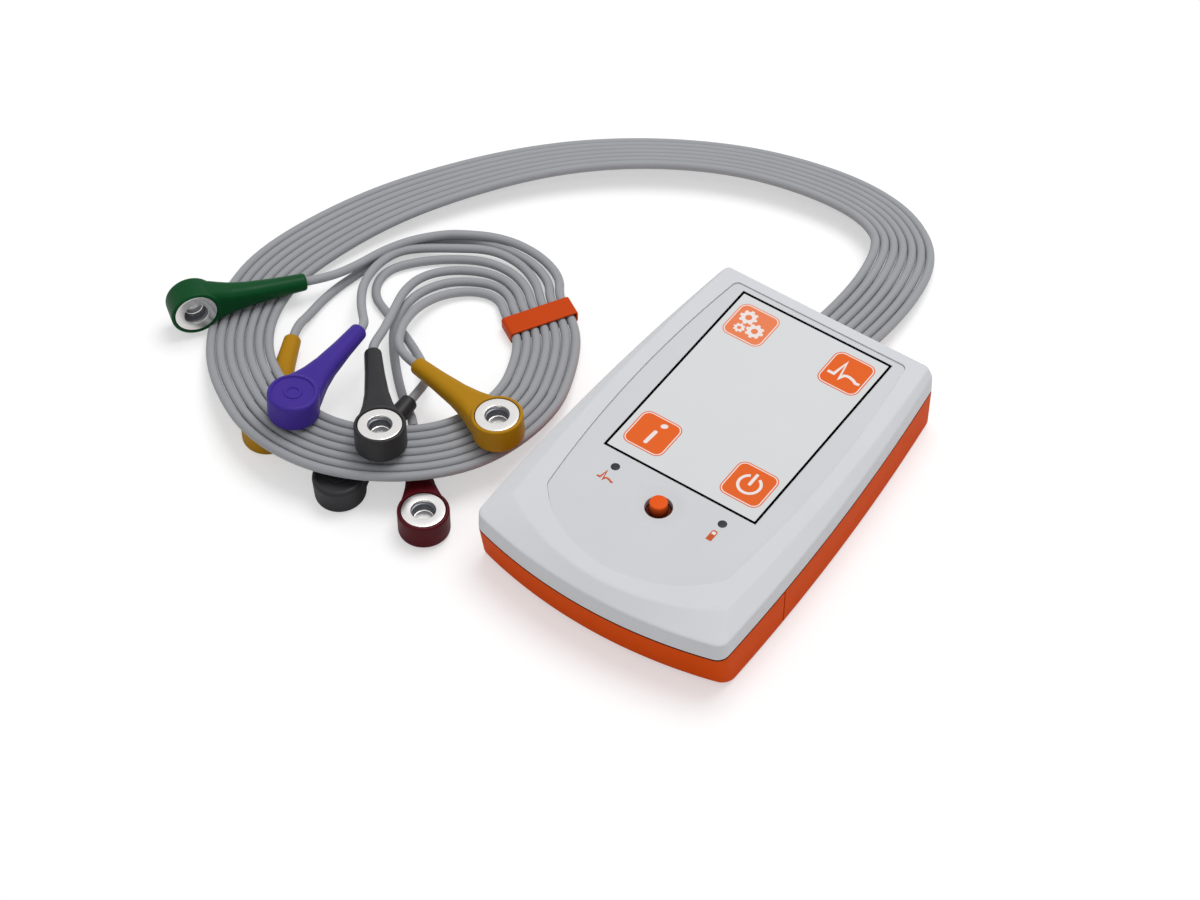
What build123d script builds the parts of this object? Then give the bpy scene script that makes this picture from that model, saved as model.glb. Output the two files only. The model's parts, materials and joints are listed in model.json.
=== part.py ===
# Pocket recorder of heart signals: a slim two-shell case with a glass display, an event button,
# a battery door that slides off the front, and a set of seven patient leads on one plug.
# Millimetres, +Z up. The case stands on z = 0 with its middle over the origin, its display
# looks up, and the leads leave the rear wall towards +Y.
from build123d import *
from math import cos, radians, sin, tan
import os

os.makedirs("parts", exist_ok=True)

# Case, outside
CASE_LENGTH = 95.6
CASE_HALF_WIDTH = 32.6
WIDEST_Y = -22.4
SIDE_RADIUS = 585.0
FRONT_RADIUS = 108.0
CASE_HEIGHT = 18.0
SPLIT_Z = 11.5
CREASE_Z = 16.1
SIDE_DRAFT = 0.4
FRONT_DRAFT = 1.0
CREASE_INSET = 0.15
FRONT_CORNER_R = 3.0
REAR_CORNER_R = 2.0
BOTTOM_EDGE_R = 3.0

# Flat crown of the upper shell, inside its sloping shoulders
CROWN_HALF_WIDTH = 28.9
CROWN_WIDEST_Y = 0.6
CROWN_SIDE_RADIUS = 560.0
CROWN_FRONT_MARGIN = 3.9
CROWN_FRONT_RADIUS = 42.0
CROWN_CORNER_R = 1.2

# Sides of round features, which get few to save faces
SMALL_SIDES = 12
ROUND_SIDES = 24

# Walls and clearances
WALL = 2.0
FLOOR = 1.4
ROOF = 2.4
SEAM_GAP = 0.1
FIT_GAP = 0.1

# Front panel, display and indicator lights
PANEL_REAR_MARGIN = 2.9
PANEL_REAR_HALF = 22.75
PANEL_WIDEST_HALF = 25.5
PANEL_WIDEST_Y = 10.6
PANEL_CORNER_MARGIN = 19.2
PANEL_CORNER_HALF = 23.4
PANEL_FRONT_MARGIN = 7.6
PANEL_CORNER_FRONT_R = 2.5
PANEL_CORNER_REAR_R = 1.5
PANEL_THICKNESS = 0.8
PANEL_RECESS = 1.15
DISPLAY_WIDTH = 40.0
DISPLAY_REAR_MARGIN = 4.3
DISPLAY_FRONT_MARGIN = 35.5
DISPLAY_SEAT = 1.2
MODULE_SIDE_MARGIN = 0.4
MODULE_END_MARGIN = 1.1
MODULE_THICKNESS = 2.3
LIGHT_X = 14.0
LIGHT_GAP = 1.1
LIGHT_RADIUS = 1.0
LIGHT_FLANGE_R = 1.6

# Event button and its switch
BUTTON_MARGIN = 27.9
BUTTON_CAP_R = 2.0
BUTTON_BASE_R = 3.0
BUTTON_FLANGE_R = 3.75
BUTTON_FLANGE_H = 0.7
BUTTON_PROUD = 1.5
BUTTON_BASE_DEPTH = 1.6
BUTTON_TRAVEL = 0.6
BUTTON_PLAY = 0.3
DISH_RADIUS = 5.3
DISH_DEPTH = 0.25
SWITCH_SIDE = 6.0
PLUNGER_R = 1.2
PLUNGER_H = 0.2

# Circuit board
BOARD_THICKNESS = 1.0
BOARD_HALF_WIDTH = 25.2
BOARD_BUTTON_MARGIN = 4.5
BOARD_REAR_GAP = 0.7
BOARD_PIN_X = 18.0
BOARD_PIN_MARGIN = 21.8
BOARD_PIN_R = 1.6

# Screws and the posts that they pull together
REAR_SCREW_X = 23.0
REAR_SCREW_MARGIN = 6.7
FRONT_SCREW_X = 25.6
FRONT_SCREW_MARGIN = 7.0
POST_RADIUS = 2.4
SCREW_SHANK_R = 0.9
SCREW_HEAD_R = 1.8
SCREW_HEAD_H = 1.5
SCREW_SUNK = 0.9
SCREW_GAP = 0.1
PILOT_GAP = 0.05
PILOT_DEPTH = 3.4

# Batteries, contacts and the door
CELL_LENGTH = 44.5
CELL_SPACING = 1.0
CELL_ROOF_GAP = 0.15
CELL_FLOOR_GAP = 0.25
CELL_SEAM_GAP = 0.7
NUB_RADIUS = 1.9
NUB_LENGTH = 1.2
CONTACT_THICKNESS = 0.4
CONTACT_HEIGHT = 8.0
CONTACT_WIDTH = 9.0
CELL_FRONT_MARGIN = 5.7
BULKHEAD = 1.75
RAIL_WIDTH = 3.0
RAIL_FRONT_MARGIN = 6.8
TONGUE_WIDTH = 2.0
TONGUE_HEIGHT = 1.2
TONGUE_Z = 5.2
RIB_HEIGHT = 1.0
RIB_FRONT_GAP = 1.0

# Lead socket and plug
PLUG_Z = 4.6
PLUG_WIDTH = 16.0
PLUG_HEIGHT = 4.6
PLUG_INSERT = 9.0
SOCKET_WALL = 0.8
SOCKET_DEPTH = 12.0
GRIP_WIDTH = 17.5
GRIP_HEIGHT = 6.4
GRIP_LENGTH = 8.3
GRIP_EDGE_R = 1.5

# Leads: seven in a bonded ribbon, then loose past the band
LEAD_DIAMETER = 2.1
LEAD_SIDES = 4
CORNER_SHARE = 0.627
LEAD_PITCH = 2.2
ROUTE_SHARE = 0.45

# Band that gathers the leads
BAND_LENGTH = 6.9
BAND_WALL = 0.9
BAND_GAP = 0.1

# Snap connector at the end of each lead
SNAP_RADIUS = 5.85
SNAP_THICKNESS = 6.6
SNAP_REACH = 27.0
TAIL_ROOT = (2.0, 5.1, 3.0)
TAIL_BLEND = (8.5, 3.6, 2.9)
TAIL_MIDDLE = (13.0, 2.85, 2.6)
TAIL_END = (26.4, 2.25, 2.25)
TAIL_TIP = (SNAP_REACH, 1.75, 1.75)
TAIL_CHAMFER = 0.55
CUP_RADIUS = 5.2
CUP_HEIGHT = 4.0
CUP_GAP = 0.05
CUP_BORE_R = 2.8
CUP_DEPTH = 3.0

# Places that follow from the sizes above; each margin is taken from the nearer end of the case
REAR_Y = CASE_LENGTH / 2
FRONT_Y = -CASE_LENGTH / 2
CROWN_FRONT_Y = FRONT_Y + CROWN_FRONT_MARGIN
PANEL_REAR_Y = REAR_Y - PANEL_REAR_MARGIN
PANEL_CORNER_Y = FRONT_Y + PANEL_CORNER_MARGIN
PANEL_FRONT_Y = FRONT_Y + PANEL_FRONT_MARGIN
DISPLAY_REAR_Y = REAR_Y - DISPLAY_REAR_MARGIN
DISPLAY_FRONT_Y = FRONT_Y + DISPLAY_FRONT_MARGIN
DISPLAY_Y = (DISPLAY_REAR_Y + DISPLAY_FRONT_Y) / 2
DISPLAY_LENGTH = DISPLAY_REAR_Y - DISPLAY_FRONT_Y
MODULE_WIDTH = DISPLAY_WIDTH + 2 * MODULE_SIDE_MARGIN
MODULE_LENGTH = DISPLAY_LENGTH + 2 * MODULE_END_MARGIN
LIGHT_Y = DISPLAY_FRONT_Y - MODULE_END_MARGIN - LIGHT_GAP - LIGHT_FLANGE_R
BUTTON_Y = FRONT_Y + BUTTON_MARGIN
BOARD_FRONT_Y = BUTTON_Y - BOARD_BUTTON_MARGIN
BOARD_PIN_Y = REAR_Y - BOARD_PIN_MARGIN
ROOF_Z = CASE_HEIGHT - ROOF
RECESS_Z = CASE_HEIGHT - PANEL_RECESS
PANEL_Z = RECESS_Z + PANEL_THICKNESS
BOARD_TOP_Z = ROOF_Z - MODULE_THICKNESS
BOARD_Z = BOARD_TOP_Z - BOARD_THICKNESS
CELL_RADIUS = (BOARD_Z - CELL_ROOF_GAP - FLOOR - CELL_FLOOR_GAP) / 2
CELL_PITCH = 2 * CELL_RADIUS + CELL_SPACING
CELL_Z = FLOOR + CELL_RADIUS
SEAM_Y = FRONT_Y + CELL_FRONT_MARGIN + 2 * CELL_PITCH - CELL_SPACING + CELL_SEAM_GAP
RAIL_FRONT_Y = FRONT_Y + RAIL_FRONT_MARGIN
REAR_SCREW_Y = REAR_Y - REAR_SCREW_MARGIN
FRONT_SCREW_Y = SEAM_Y + FRONT_SCREW_MARGIN
RAIL_X = CELL_LENGTH / 2 + CONTACT_THICKNESS
GRIP_Y = REAR_Y + SEAM_GAP
LEAD_START_Y = GRIP_Y + GRIP_LENGTH
SCREWS = {
    "rear_left": (-REAR_SCREW_X, REAR_SCREW_Y),
    "rear_right": (REAR_SCREW_X, REAR_SCREW_Y),
    "front_left": (-FRONT_SCREW_X, FRONT_SCREW_Y),
    "front_right": (FRONT_SCREW_X, FRONT_SCREW_Y),
}

# Middle of the ribbon: x, y, z and its tilt in degrees, inner edge up. It leaves the plug, goes
# round behind the case, comes back over three of the snap connectors and ends in the band.
RIBBON = [
    (0.0, LEAD_START_Y, PLUG_Z, 0),
    (0.0, 68.0, PLUG_Z, 0),
    (-2.7, 85.5, 4.0, 12),
    (-9.9, 92.8, 3.7, 16),
    (-20.7, 95.7, 3.7, 18),
    (-35.9, 94.2, 3.8, 20),
    (-52.9, 89.0, 3.9, 22),
    (-71.8, 78.5, 3.9, 22),
    (-88.3, 64.5, 3.8, 20),
    (-102.3, 47.0, 3.3, 16),
    (-114.0, 26.1, 2.6, 11),
    (-121.2, 1.9, 1.8, 4),
    (-119.5, -12.6, 1.8, 4),
    (-113.8, -24.2, 2.3, 5),
    (-103.4, -35.0, 6.9, 6),
    (-88.6, -42.8, 9.7, 2),
    (-73.3, -42.3, 9.4, 0),
    (-58.7, -34.5, 9.2, 0),
    (-48.5, -22.3, 8.2, 0),
    (-46.5, -4.0, 5.6, 0),
    (-52.0, 10.2, 2.6, 0),
    (-58.0, 17.7, 2.1, 0),
    (-64.2, 24.3, 2.1, 0),
]

# Each lead past the band, then how far its last straight stands out of its connector
LOOSE = {
    "green": [(-65.8, 34.6, 1.5), (-74.1, 38.1, 1.4), (-84.3, 38.3, 1.9), (-95.6, 31.6, 2.6),
              (-99.7, 25.4, 3.4), (-102.2, 19.1, 4.1), (-104.2, 13.0, 4.4), (-104.1, 6.8, 7.2),
              (-103.2, 1.2, 10.2), (-103.8, -2.9, 11.5)],
    "ochre": [(-67.0, 32.3, 1.2), (-74.0, 35.4, 1.2), (-83.7, 35.4, 1.2), (-94.0, 29.5, 1.2),
              (-98.7, 23.8, 1.2), (-102.2, 17.6, 1.2), (-104.0, 11.9, 1.2), (-104.9, 6.0, 1.2),
              (-105.4, -0.5, 1.2), (-105.9, -5.4, 1.4), (-106.0, -9.9, 2.4)],
    "violet": [(-68.3, 30.1, 1.7), (-74.9, 32.8, 2.3), (-83.3, 32.7, 2.3), (-91.7, 27.1, 2.8),
               (-96.6, 21.6, 3.5), (-100.3, 15.7, 4.1), (-101.2, 9.7, 5.2), (-99.9, 5.4, 6.2),
               (-97.1, 1.3, 7.4), (-93.4, -2.0, 9.3), (-89.9, -4.9, 10.9)],
    "charcoal": [(-69.6, 28.0, 1.2), (-75.8, 30.3, 1.2), (-83.3, 29.5, 1.2), (-90.8, 24.9, 1.2),
                 (-96.1, 20.0, 1.2), (-99.4, 15.4, 1.2), (-100.1, 11.6, 1.2), (-99.0, 7.8, 1.2),
                 (-96.4, 4.9, 1.2), (-91.9, 3.0, 1.2), (-85.9, 0.5, 1.2), (-80.4, -2.1, 1.2),
                 (-75.6, -5.0, 1.5), (-72.4, -8.0, 2.8), (-69.6, -10.9, 5.3)],
    "black": [(-70.7, 25.8, 1.2), (-76.2, 27.4, 1.2), (-82.1, 26.0, 1.4), (-88.2, 21.7, 1.8),
              (-91.5, 15.7, 2.8), (-91.1, 8.6, 4.4), (-88.6, 1.6, 6.4), (-86.5, -4.0, 8.6),
              (-85.0, -9.2, 10.1)],
    "red": [(-71.4, 23.5, 1.2), (-76.0, 24.6, 1.2), (-81.1, 22.8, 1.2), (-86.3, 18.8, 1.4),
            (-89.0, 12.0, 2.4), (-88.7, 4.9, 3.4), (-86.7, -1.1, 3.7), (-83.4, -5.8, 2.4),
            (-79.0, -10.4, 1.3), (-74.5, -14.6, 1.2), (-70.4, -17.9, 1.5)],
    "gold": [(-72.3, 21.1, 1.3), (-76.3, 21.3, 1.3), (-80.5, 19.2, 1.5), (-84.6, 14.3, 2.0),
             (-85.8, 7.1, 3.8), (-84.3, 0.0, 6.0), (-81.5, -5.5, 8.4), (-78.6, -9.6, 10.1)],
}
STRAIGHT = {"green": 3.2, "ochre": 3.8, "violet": 4.0, "charcoal": 4.0, "black": 3.6,
            "red": 3.4, "gold": 4.0}

# Each connector as it lies: middle of its disc, a point towards its lead, and the way its
# metal face looks. One stands on its rim and one lies face down.
SNAPS = {
    "green": ((-127.8, -25.5, 6.3), (-107.8, -7.9, 11.2), (0.63, -0.76, 0.17)),
    "ochre": ((-91.8, -41.6, 3.3), (-103.6, -17.3, 3.3), (0, 0, 1)),
    "violet": ((-84.8, -39.7, 14.7), (-87.0, -12.9, 12.7), (0, 0, -1)),
    "charcoal": ((-68.1, -45.6, 3.9), (-68.5, -18.6, 6.1), (0, 0, 1)),
    "black": ((-63.1, -36.2, 14.7), (-80.9, -16.0, 11.9), (0, 0, 1)),
    "red": ((-46.6, -43.0, 3.6), (-64.6, -22.9, 2.8), (0, 0, 1)),
    "gold": ((-44.5, -17.8, 13.0), (-71.0, -12.8, 11.2), (0, 0, 1)),
}


def save(piece, name):
    """Label a finished piece and write it."""
    piece.part.label = name
    export_step(piece.part, f"parts/{name}.step")


def side_x(y, half_width, widest_y, radius):
    """Half width of a long, gently bowed side at y."""
    return half_width - (y - widest_y) ** 2 / (2 * radius)


def bowed_outline(side, front_y, front_radius, rear_y, front_corner, rear_corner):
    """A bowed outline: side(y) gives its half width, and its front is one shallow arc."""
    front_x = side(front_y)
    corner_y = front_y + front_x**2 / (2 * front_radius)
    front_x = side(corner_y)
    middle_y = (corner_y + rear_y) / 2
    with BuildSketch() as outline:
        with BuildLine():
            ThreePointArc((-front_x, corner_y), (0, front_y), (front_x, corner_y))
            ThreePointArc((front_x, corner_y), (side(middle_y), middle_y), (side(rear_y), rear_y))
            Line((side(rear_y), rear_y), (-side(rear_y), rear_y))
            ThreePointArc(
                (-side(rear_y), rear_y), (-side(middle_y), middle_y), (-front_x, corner_y)
            )
        make_face()
        corners = outline.vertices().group_by(Axis.Y)
        fillet(corners[0], front_corner)
        fillet(outline.vertices().group_by(Axis.Y)[-1], rear_corner)
    return outline.sketch


def case_outline(inset=0.0, front_inset=0.0):
    """The case's plan, drawn in by an inset all round and by some more at the front."""
    return bowed_outline(
        lambda y: side_x(y, CASE_HALF_WIDTH, WIDEST_Y, SIDE_RADIUS) - inset,
        FRONT_Y + inset + front_inset,
        FRONT_RADIUS,
        REAR_Y - inset,
        max(FRONT_CORNER_R - inset / 2, 1.0),
        max(REAR_CORNER_R - inset / 2, 0.8),
    )


def crown_outline():
    """The flat crown's plan: its sides and front stand back from the case, its rear doesn't."""
    return bowed_outline(
        lambda y: side_x(y, CROWN_HALF_WIDTH, CROWN_WIDEST_Y, CROWN_SIDE_RADIUS),
        CROWN_FRONT_Y,
        CROWN_FRONT_RADIUS,
        REAR_Y - CREASE_INSET,
        CROWN_CORNER_R,
        CROWN_CORNER_R,
    )


def panel_outline(gap=0.0):
    """The recess of the front panel: bowed sides, a straight rear and a round front."""
    rear = (PANEL_REAR_HALF - gap, PANEL_REAR_Y - gap)
    widest = (PANEL_WIDEST_HALF - gap, PANEL_WIDEST_Y)
    corner = (PANEL_CORNER_HALF - gap, PANEL_CORNER_Y)
    front = (0, PANEL_FRONT_Y + gap)
    with BuildSketch() as outline:
        with BuildLine():
            Line((-rear[0], rear[1]), rear)
            ThreePointArc(rear, widest, corner)
            ThreePointArc(corner, front, (-corner[0], corner[1]))
            ThreePointArc((-corner[0], corner[1]), (-widest[0], widest[1]), (-rear[0], rear[1]))
        make_face()
        fillet(outline.vertices().group_by(Axis.Y)[0], PANEL_CORNER_FRONT_R)
        fillet(outline.vertices().group_by(Axis.Y)[-1], PANEL_CORNER_REAR_R)
    return outline.sketch


def lower_body():
    """Solid outer form of the lower half of the case, before it is hollowed and parted."""
    with BuildPart() as body:
        for turn in (0, 30, 60, 90):
            rise = BOTTOM_EDGE_R * (1 - cos(radians(turn)))
            inset = BOTTOM_EDGE_R * (1 - sin(radians(turn)))
            with BuildSketch(Plane.XY.offset(rise)):
                add(case_outline(SIDE_DRAFT + inset, FRONT_DRAFT))
        with BuildSketch(Plane.XY.offset(SPLIT_Z)):
            add(case_outline())
        loft(ruled=True)
        with BuildSketch(Plane.XY.offset(FLOOR)):
            add(case_outline(WALL + SIDE_DRAFT, FRONT_DRAFT))
        with BuildSketch(Plane.XY.offset(SPLIT_Z)):
            add(case_outline(WALL))
        loft(ruled=True, mode=Mode.SUBTRACT)
    return body.part


# Upper shell: wall, sloping shoulders and flat crown, with the panel's recess in it
with BuildPart() as top_shell:
    with BuildSketch(Plane.XY.offset(SPLIT_Z)):
        add(case_outline())
    with BuildSketch(Plane.XY.offset(CREASE_Z)):
        add(case_outline(CREASE_INSET))
    loft(ruled=True)
    with BuildSketch(Plane.XY.offset(CREASE_Z)):
        add(case_outline(CREASE_INSET))
    with BuildSketch(Plane.XY.offset(CASE_HEIGHT)):
        add(crown_outline())
    loft(ruled=True)
    with BuildSketch(Plane.XY.offset(SPLIT_Z)):
        add(case_outline(WALL))
    extrude(amount=ROOF_Z - SPLIT_Z, mode=Mode.SUBTRACT)
    with BuildSketch(Plane.XY.offset(SPLIT_Z)):
        with Locations(*SCREWS.values()):
            RegularPolygon(POST_RADIUS, SMALL_SIDES)
    extrude(amount=ROOF_Z - SPLIT_Z)
    with BuildSketch(Plane.XY.offset(SPLIT_Z)):
        with Locations(*SCREWS.values()):
            RegularPolygon(SCREW_SHANK_R + PILOT_GAP, SMALL_SIDES)
    extrude(amount=PILOT_DEPTH, mode=Mode.SUBTRACT)
    with BuildSketch(Plane.XY.offset(RECESS_Z)):
        add(panel_outline())
    extrude(amount=PANEL_RECESS, mode=Mode.SUBTRACT)
    with BuildSketch(Plane.XY.offset(ROOF_Z)):
        with Locations((0, DISPLAY_Y)):
            Rectangle(DISPLAY_WIDTH - 2 * DISPLAY_SEAT, DISPLAY_LENGTH - 2 * DISPLAY_SEAT)
        with Locations((0, BUTTON_Y)):
            Circle(BUTTON_BASE_R + FIT_GAP)
        with Locations((-LIGHT_X, LIGHT_Y), (LIGHT_X, LIGHT_Y)):
            RegularPolygon(LIGHT_RADIUS + FIT_GAP, SMALL_SIDES)
    extrude(amount=PANEL_RECESS + ROOF, mode=Mode.SUBTRACT)
save(top_shell, "top_shell")

# Front panel: a thin plate in the recess, dished round the button
with BuildPart() as front_panel:
    with BuildSketch(Plane.XY.offset(RECESS_Z)):
        add(panel_outline(FIT_GAP))
        with Locations((0, DISPLAY_Y)):
            Rectangle(
                DISPLAY_WIDTH + 2 * FIT_GAP, DISPLAY_LENGTH + 2 * FIT_GAP, mode=Mode.SUBTRACT
            )
        with Locations((0, BUTTON_Y)):
            Circle(BUTTON_BASE_R + FIT_GAP, mode=Mode.SUBTRACT)
        with Locations((-LIGHT_X, LIGHT_Y), (LIGHT_X, LIGHT_Y)):
            RegularPolygon(LIGHT_RADIUS + FIT_GAP, SMALL_SIDES, mode=Mode.SUBTRACT)
    extrude(amount=PANEL_THICKNESS)
    dish_slope = DISH_DEPTH / (DISH_RADIUS - BUTTON_BASE_R - FIT_GAP)
    dish_spread = DISH_RADIUS - BUTTON_CAP_R
    with Locations((0, BUTTON_Y, PANEL_Z)):
        Cone(BUTTON_CAP_R, DISH_RADIUS + dish_spread, 2 * dish_spread * dish_slope,
             mode=Mode.SUBTRACT)
save(front_panel, "front_panel")

# Display window, seated on the roof round its opening, and the module below it
with BuildPart() as display_window:
    with BuildSketch(Plane.XY.offset(RECESS_Z)):
        with Locations((0, DISPLAY_Y)):
            Rectangle(DISPLAY_WIDTH, DISPLAY_LENGTH)
    extrude(amount=PANEL_THICKNESS)
save(display_window, "display_window")

with BuildPart() as display_module:
    with BuildSketch(Plane.XY.offset(BOARD_TOP_Z)):
        with Locations((0, DISPLAY_Y)):
            Rectangle(MODULE_WIDTH, MODULE_LENGTH)
    extrude(amount=MODULE_THICKNESS)
save(display_module, "display_module")

# Circuit board, notched round the screw posts
with BuildPart() as circuit_board:
    board_rear_y = REAR_Y - WALL - BOARD_REAR_GAP
    with BuildSketch(Plane.XY.offset(BOARD_Z)):
        with Locations((0, (BOARD_FRONT_Y + board_rear_y) / 2)):
            Rectangle(2 * BOARD_HALF_WIDTH, board_rear_y - BOARD_FRONT_Y)
        with Locations(*SCREWS.values()):
            RegularPolygon(POST_RADIUS + 3 * FIT_GAP, SMALL_SIDES, mode=Mode.SUBTRACT)
    extrude(amount=BOARD_THICKNESS)
save(circuit_board, "circuit_board")

# Light pipes of the two indicators, from the board to the panel's face
for name, x in (("light_pipe_pulse", -LIGHT_X), ("light_pipe_battery", LIGHT_X)):
    with BuildPart() as light_pipe:
        with BuildSketch(Plane.XY.offset(BOARD_TOP_Z)):
            with Locations((x, LIGHT_Y)):
                RegularPolygon(LIGHT_RADIUS, SMALL_SIDES)
        extrude(amount=PANEL_Z - BOARD_TOP_Z)
        with BuildSketch(Plane.XY.offset(BOARD_TOP_Z)):
            with Locations((x, LIGHT_Y)):
                RegularPolygon(LIGHT_FLANGE_R, SMALL_SIDES)
        extrude(amount=ROOF_Z - BOARD_TOP_Z)
    save(light_pipe, name)

# Event button: a cap on a wider base that fills its hole, held in by a flange under the roof
with BuildPart() as event_button:
    flange_top_z = ROOF_Z - BUTTON_PLAY
    flange_z = flange_top_z - BUTTON_FLANGE_H
    base_z = PANEL_Z - BUTTON_BASE_DEPTH
    cap_z = PANEL_Z + BUTTON_PROUD
    with BuildSketch(Plane.XZ.offset(-BUTTON_Y)):
        with BuildLine():
            Polyline(
                (0, flange_z),
                (BUTTON_FLANGE_R, flange_z),
                (BUTTON_FLANGE_R, flange_top_z),
                (BUTTON_BASE_R, flange_top_z),
                (BUTTON_BASE_R, base_z),
                (BUTTON_CAP_R, base_z),
                (BUTTON_CAP_R, cap_z),
                (0, cap_z),
                close=True,
            )
        make_face()
    revolve(axis=Axis((0, BUTTON_Y, 0), (0, 0, 1)))
save(event_button, "event_button")

with BuildPart() as button_switch:
    plunger_top_z = flange_z - BUTTON_TRAVEL
    body_height = plunger_top_z - PLUNGER_H - BOARD_TOP_Z
    with BuildSketch(Plane.XY.offset(BOARD_TOP_Z)):
        with Locations((0, BUTTON_Y)):
            Rectangle(SWITCH_SIDE, SWITCH_SIDE)
    extrude(amount=body_height)
    with BuildSketch(Plane.XY.offset(BOARD_TOP_Z + body_height)):
        with Locations((0, BUTTON_Y)):
            RegularPolygon(PLUNGER_R, SMALL_SIDES)
    extrude(amount=PLUNGER_H)
save(button_switch, "button_switch")

# Lower shell: the rear part of the lower half, with the wall of the battery compartment, the
# rails that carry the contacts, the screw posts and the board's supports
rail_front_length = SEAM_Y + SEAM_GAP / 2 - RAIL_FRONT_Y
with BuildPart() as bottom_shell:
    add(lower_body())
    with Locations((0, SEAM_Y + SEAM_GAP / 2, 0)):
        Box(3 * CASE_HALF_WIDTH, CASE_LENGTH, 3 * CASE_HEIGHT, mode=Mode.SUBTRACT,
            align=(Align.CENTER, Align.MAX, Align.CENTER))
    bulkhead_half = side_x(SEAM_Y, CASE_HALF_WIDTH, WIDEST_Y, SIDE_RADIUS) - WALL - FIT_GAP
    with Locations((0, SEAM_Y + SEAM_GAP / 2, FLOOR / 2)):
        Box(2 * bulkhead_half, BULKHEAD, BOARD_Z - FLOOR / 2,
            align=(Align.CENTER, Align.MIN, Align.MIN))
    for side in (1, -1):
        with Locations((side * (RAIL_X + RAIL_WIDTH / 2), SEAM_Y + SEAM_GAP / 2, 0)):
            with Locations((0, 0, FLOOR + 2 * FIT_GAP)):
                Box(RAIL_WIDTH, rail_front_length, SPLIT_Z - FLOOR - 4 * FIT_GAP,
                    align=(Align.CENTER, Align.MAX, Align.MIN))
        with Locations((side * (RAIL_X + RAIL_WIDTH + TONGUE_WIDTH / 2), SEAM_Y + SEAM_GAP / 2,
                        TONGUE_Z)):
            Box(TONGUE_WIDTH, rail_front_length, TONGUE_HEIGHT,
                align=(Align.CENTER, Align.MAX, Align.MIN))
    with BuildSketch(Plane.XY.offset(FLOOR / 2)):
        with Locations(*SCREWS.values()):
            RegularPolygon(POST_RADIUS, SMALL_SIDES)
    extrude(amount=SPLIT_Z - FLOOR / 2)
    with BuildSketch(Plane.XY.offset(FLOOR / 2)):
        with Locations((-BOARD_PIN_X, BOARD_PIN_Y), (BOARD_PIN_X, BOARD_PIN_Y)):
            RegularPolygon(BOARD_PIN_R, SMALL_SIDES)
    extrude(amount=BOARD_Z - FLOOR / 2)
    for radius, height in (
        (SCREW_SHANK_R + SCREW_GAP, SPLIT_Z),
        (SCREW_HEAD_R + 2 * SCREW_GAP, SCREW_SUNK + SCREW_HEAD_H),
    ):
        with BuildSketch(Plane.XY):
            with Locations(*SCREWS.values()):
                RegularPolygon(radius, SMALL_SIDES)
        extrude(amount=height, mode=Mode.SUBTRACT)
    with Locations((0, REAR_Y, PLUG_Z)):
        Box(PLUG_WIDTH + 2 * FIT_GAP, 3 * WALL, PLUG_HEIGHT + 2 * FIT_GAP, mode=Mode.SUBTRACT)
save(bottom_shell, "bottom_shell")

# Battery door: the front part of the lower half, carried by ribs on the rails' tongues
with BuildPart() as battery_door:
    add(lower_body())
    with Locations((0, SEAM_Y - SEAM_GAP / 2, 0)):
        Box(3 * CASE_HALF_WIDTH, CASE_LENGTH, 3 * CASE_HEIGHT, mode=Mode.SUBTRACT,
            align=(Align.CENTER, Align.MIN, Align.CENTER))
    with Locations((0, 0, SPLIT_Z - SEAM_GAP)):
        Box(3 * CASE_HALF_WIDTH, 2 * CASE_LENGTH, CASE_HEIGHT, mode=Mode.SUBTRACT,
            align=(Align.CENTER, Align.CENTER, Align.MIN))
    rib_x = RAIL_X + RAIL_WIDTH + 3 * FIT_GAP
    rib_reach = bulkhead_half + WALL / 2 - rib_x
    for side in (1, -1):
        with Locations((side * (rib_x + rib_reach / 2), SEAM_Y - SEAM_GAP / 2,
                        TONGUE_Z + TONGUE_HEIGHT + FIT_GAP)):
            Box(rib_reach, SEAM_Y - RAIL_FRONT_Y - RIB_FRONT_GAP, RIB_HEIGHT,
                align=(Align.CENTER, Align.MAX, Align.MIN))
save(battery_door, "battery_door")

# Two slim cells lie across the compartment, head to tail
rear_cell_y = SEAM_Y - CELL_SEAM_GAP - CELL_RADIUS
front_cell_y = rear_cell_y - CELL_PITCH
for name, y, way in (("battery_cell_rear", rear_cell_y, 1), ("battery_cell_front", front_cell_y, -1)):
    with BuildPart() as cell:
        can_start = Plane(
            (-way * CELL_LENGTH / 2, y, CELL_Z + CELL_FLOOR_GAP), x_dir=(0, 1, 0), z_dir=(way, 0, 0)
        )
        with BuildSketch(can_start):
            RegularPolygon(CELL_RADIUS, ROUND_SIDES)
        extrude(amount=CELL_LENGTH - NUB_LENGTH)
        with BuildSketch(can_start.offset(CELL_LENGTH - NUB_LENGTH)):
            RegularPolygon(NUB_RADIUS, ROUND_SIDES)
        extrude(amount=NUB_LENGTH)
    save(cell, name)

# Spring-steel contacts on the rails: one bridge and two terminals
contact_z = CELL_Z + CELL_FLOOR_GAP
contacts = {
    "contact_bridge": (-1, (rear_cell_y + front_cell_y) / 2, CELL_PITCH + CONTACT_WIDTH),
    "contact_positive": (1, rear_cell_y, CONTACT_WIDTH),
    "contact_negative": (1, front_cell_y, CONTACT_WIDTH),
}
for name, (side, y, width) in contacts.items():
    with BuildPart() as contact:
        with Locations((side * (CELL_LENGTH + CONTACT_THICKNESS) / 2, y, contact_z)):
            Box(CONTACT_THICKNESS, width, CONTACT_HEIGHT)
    save(contact, name)

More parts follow.
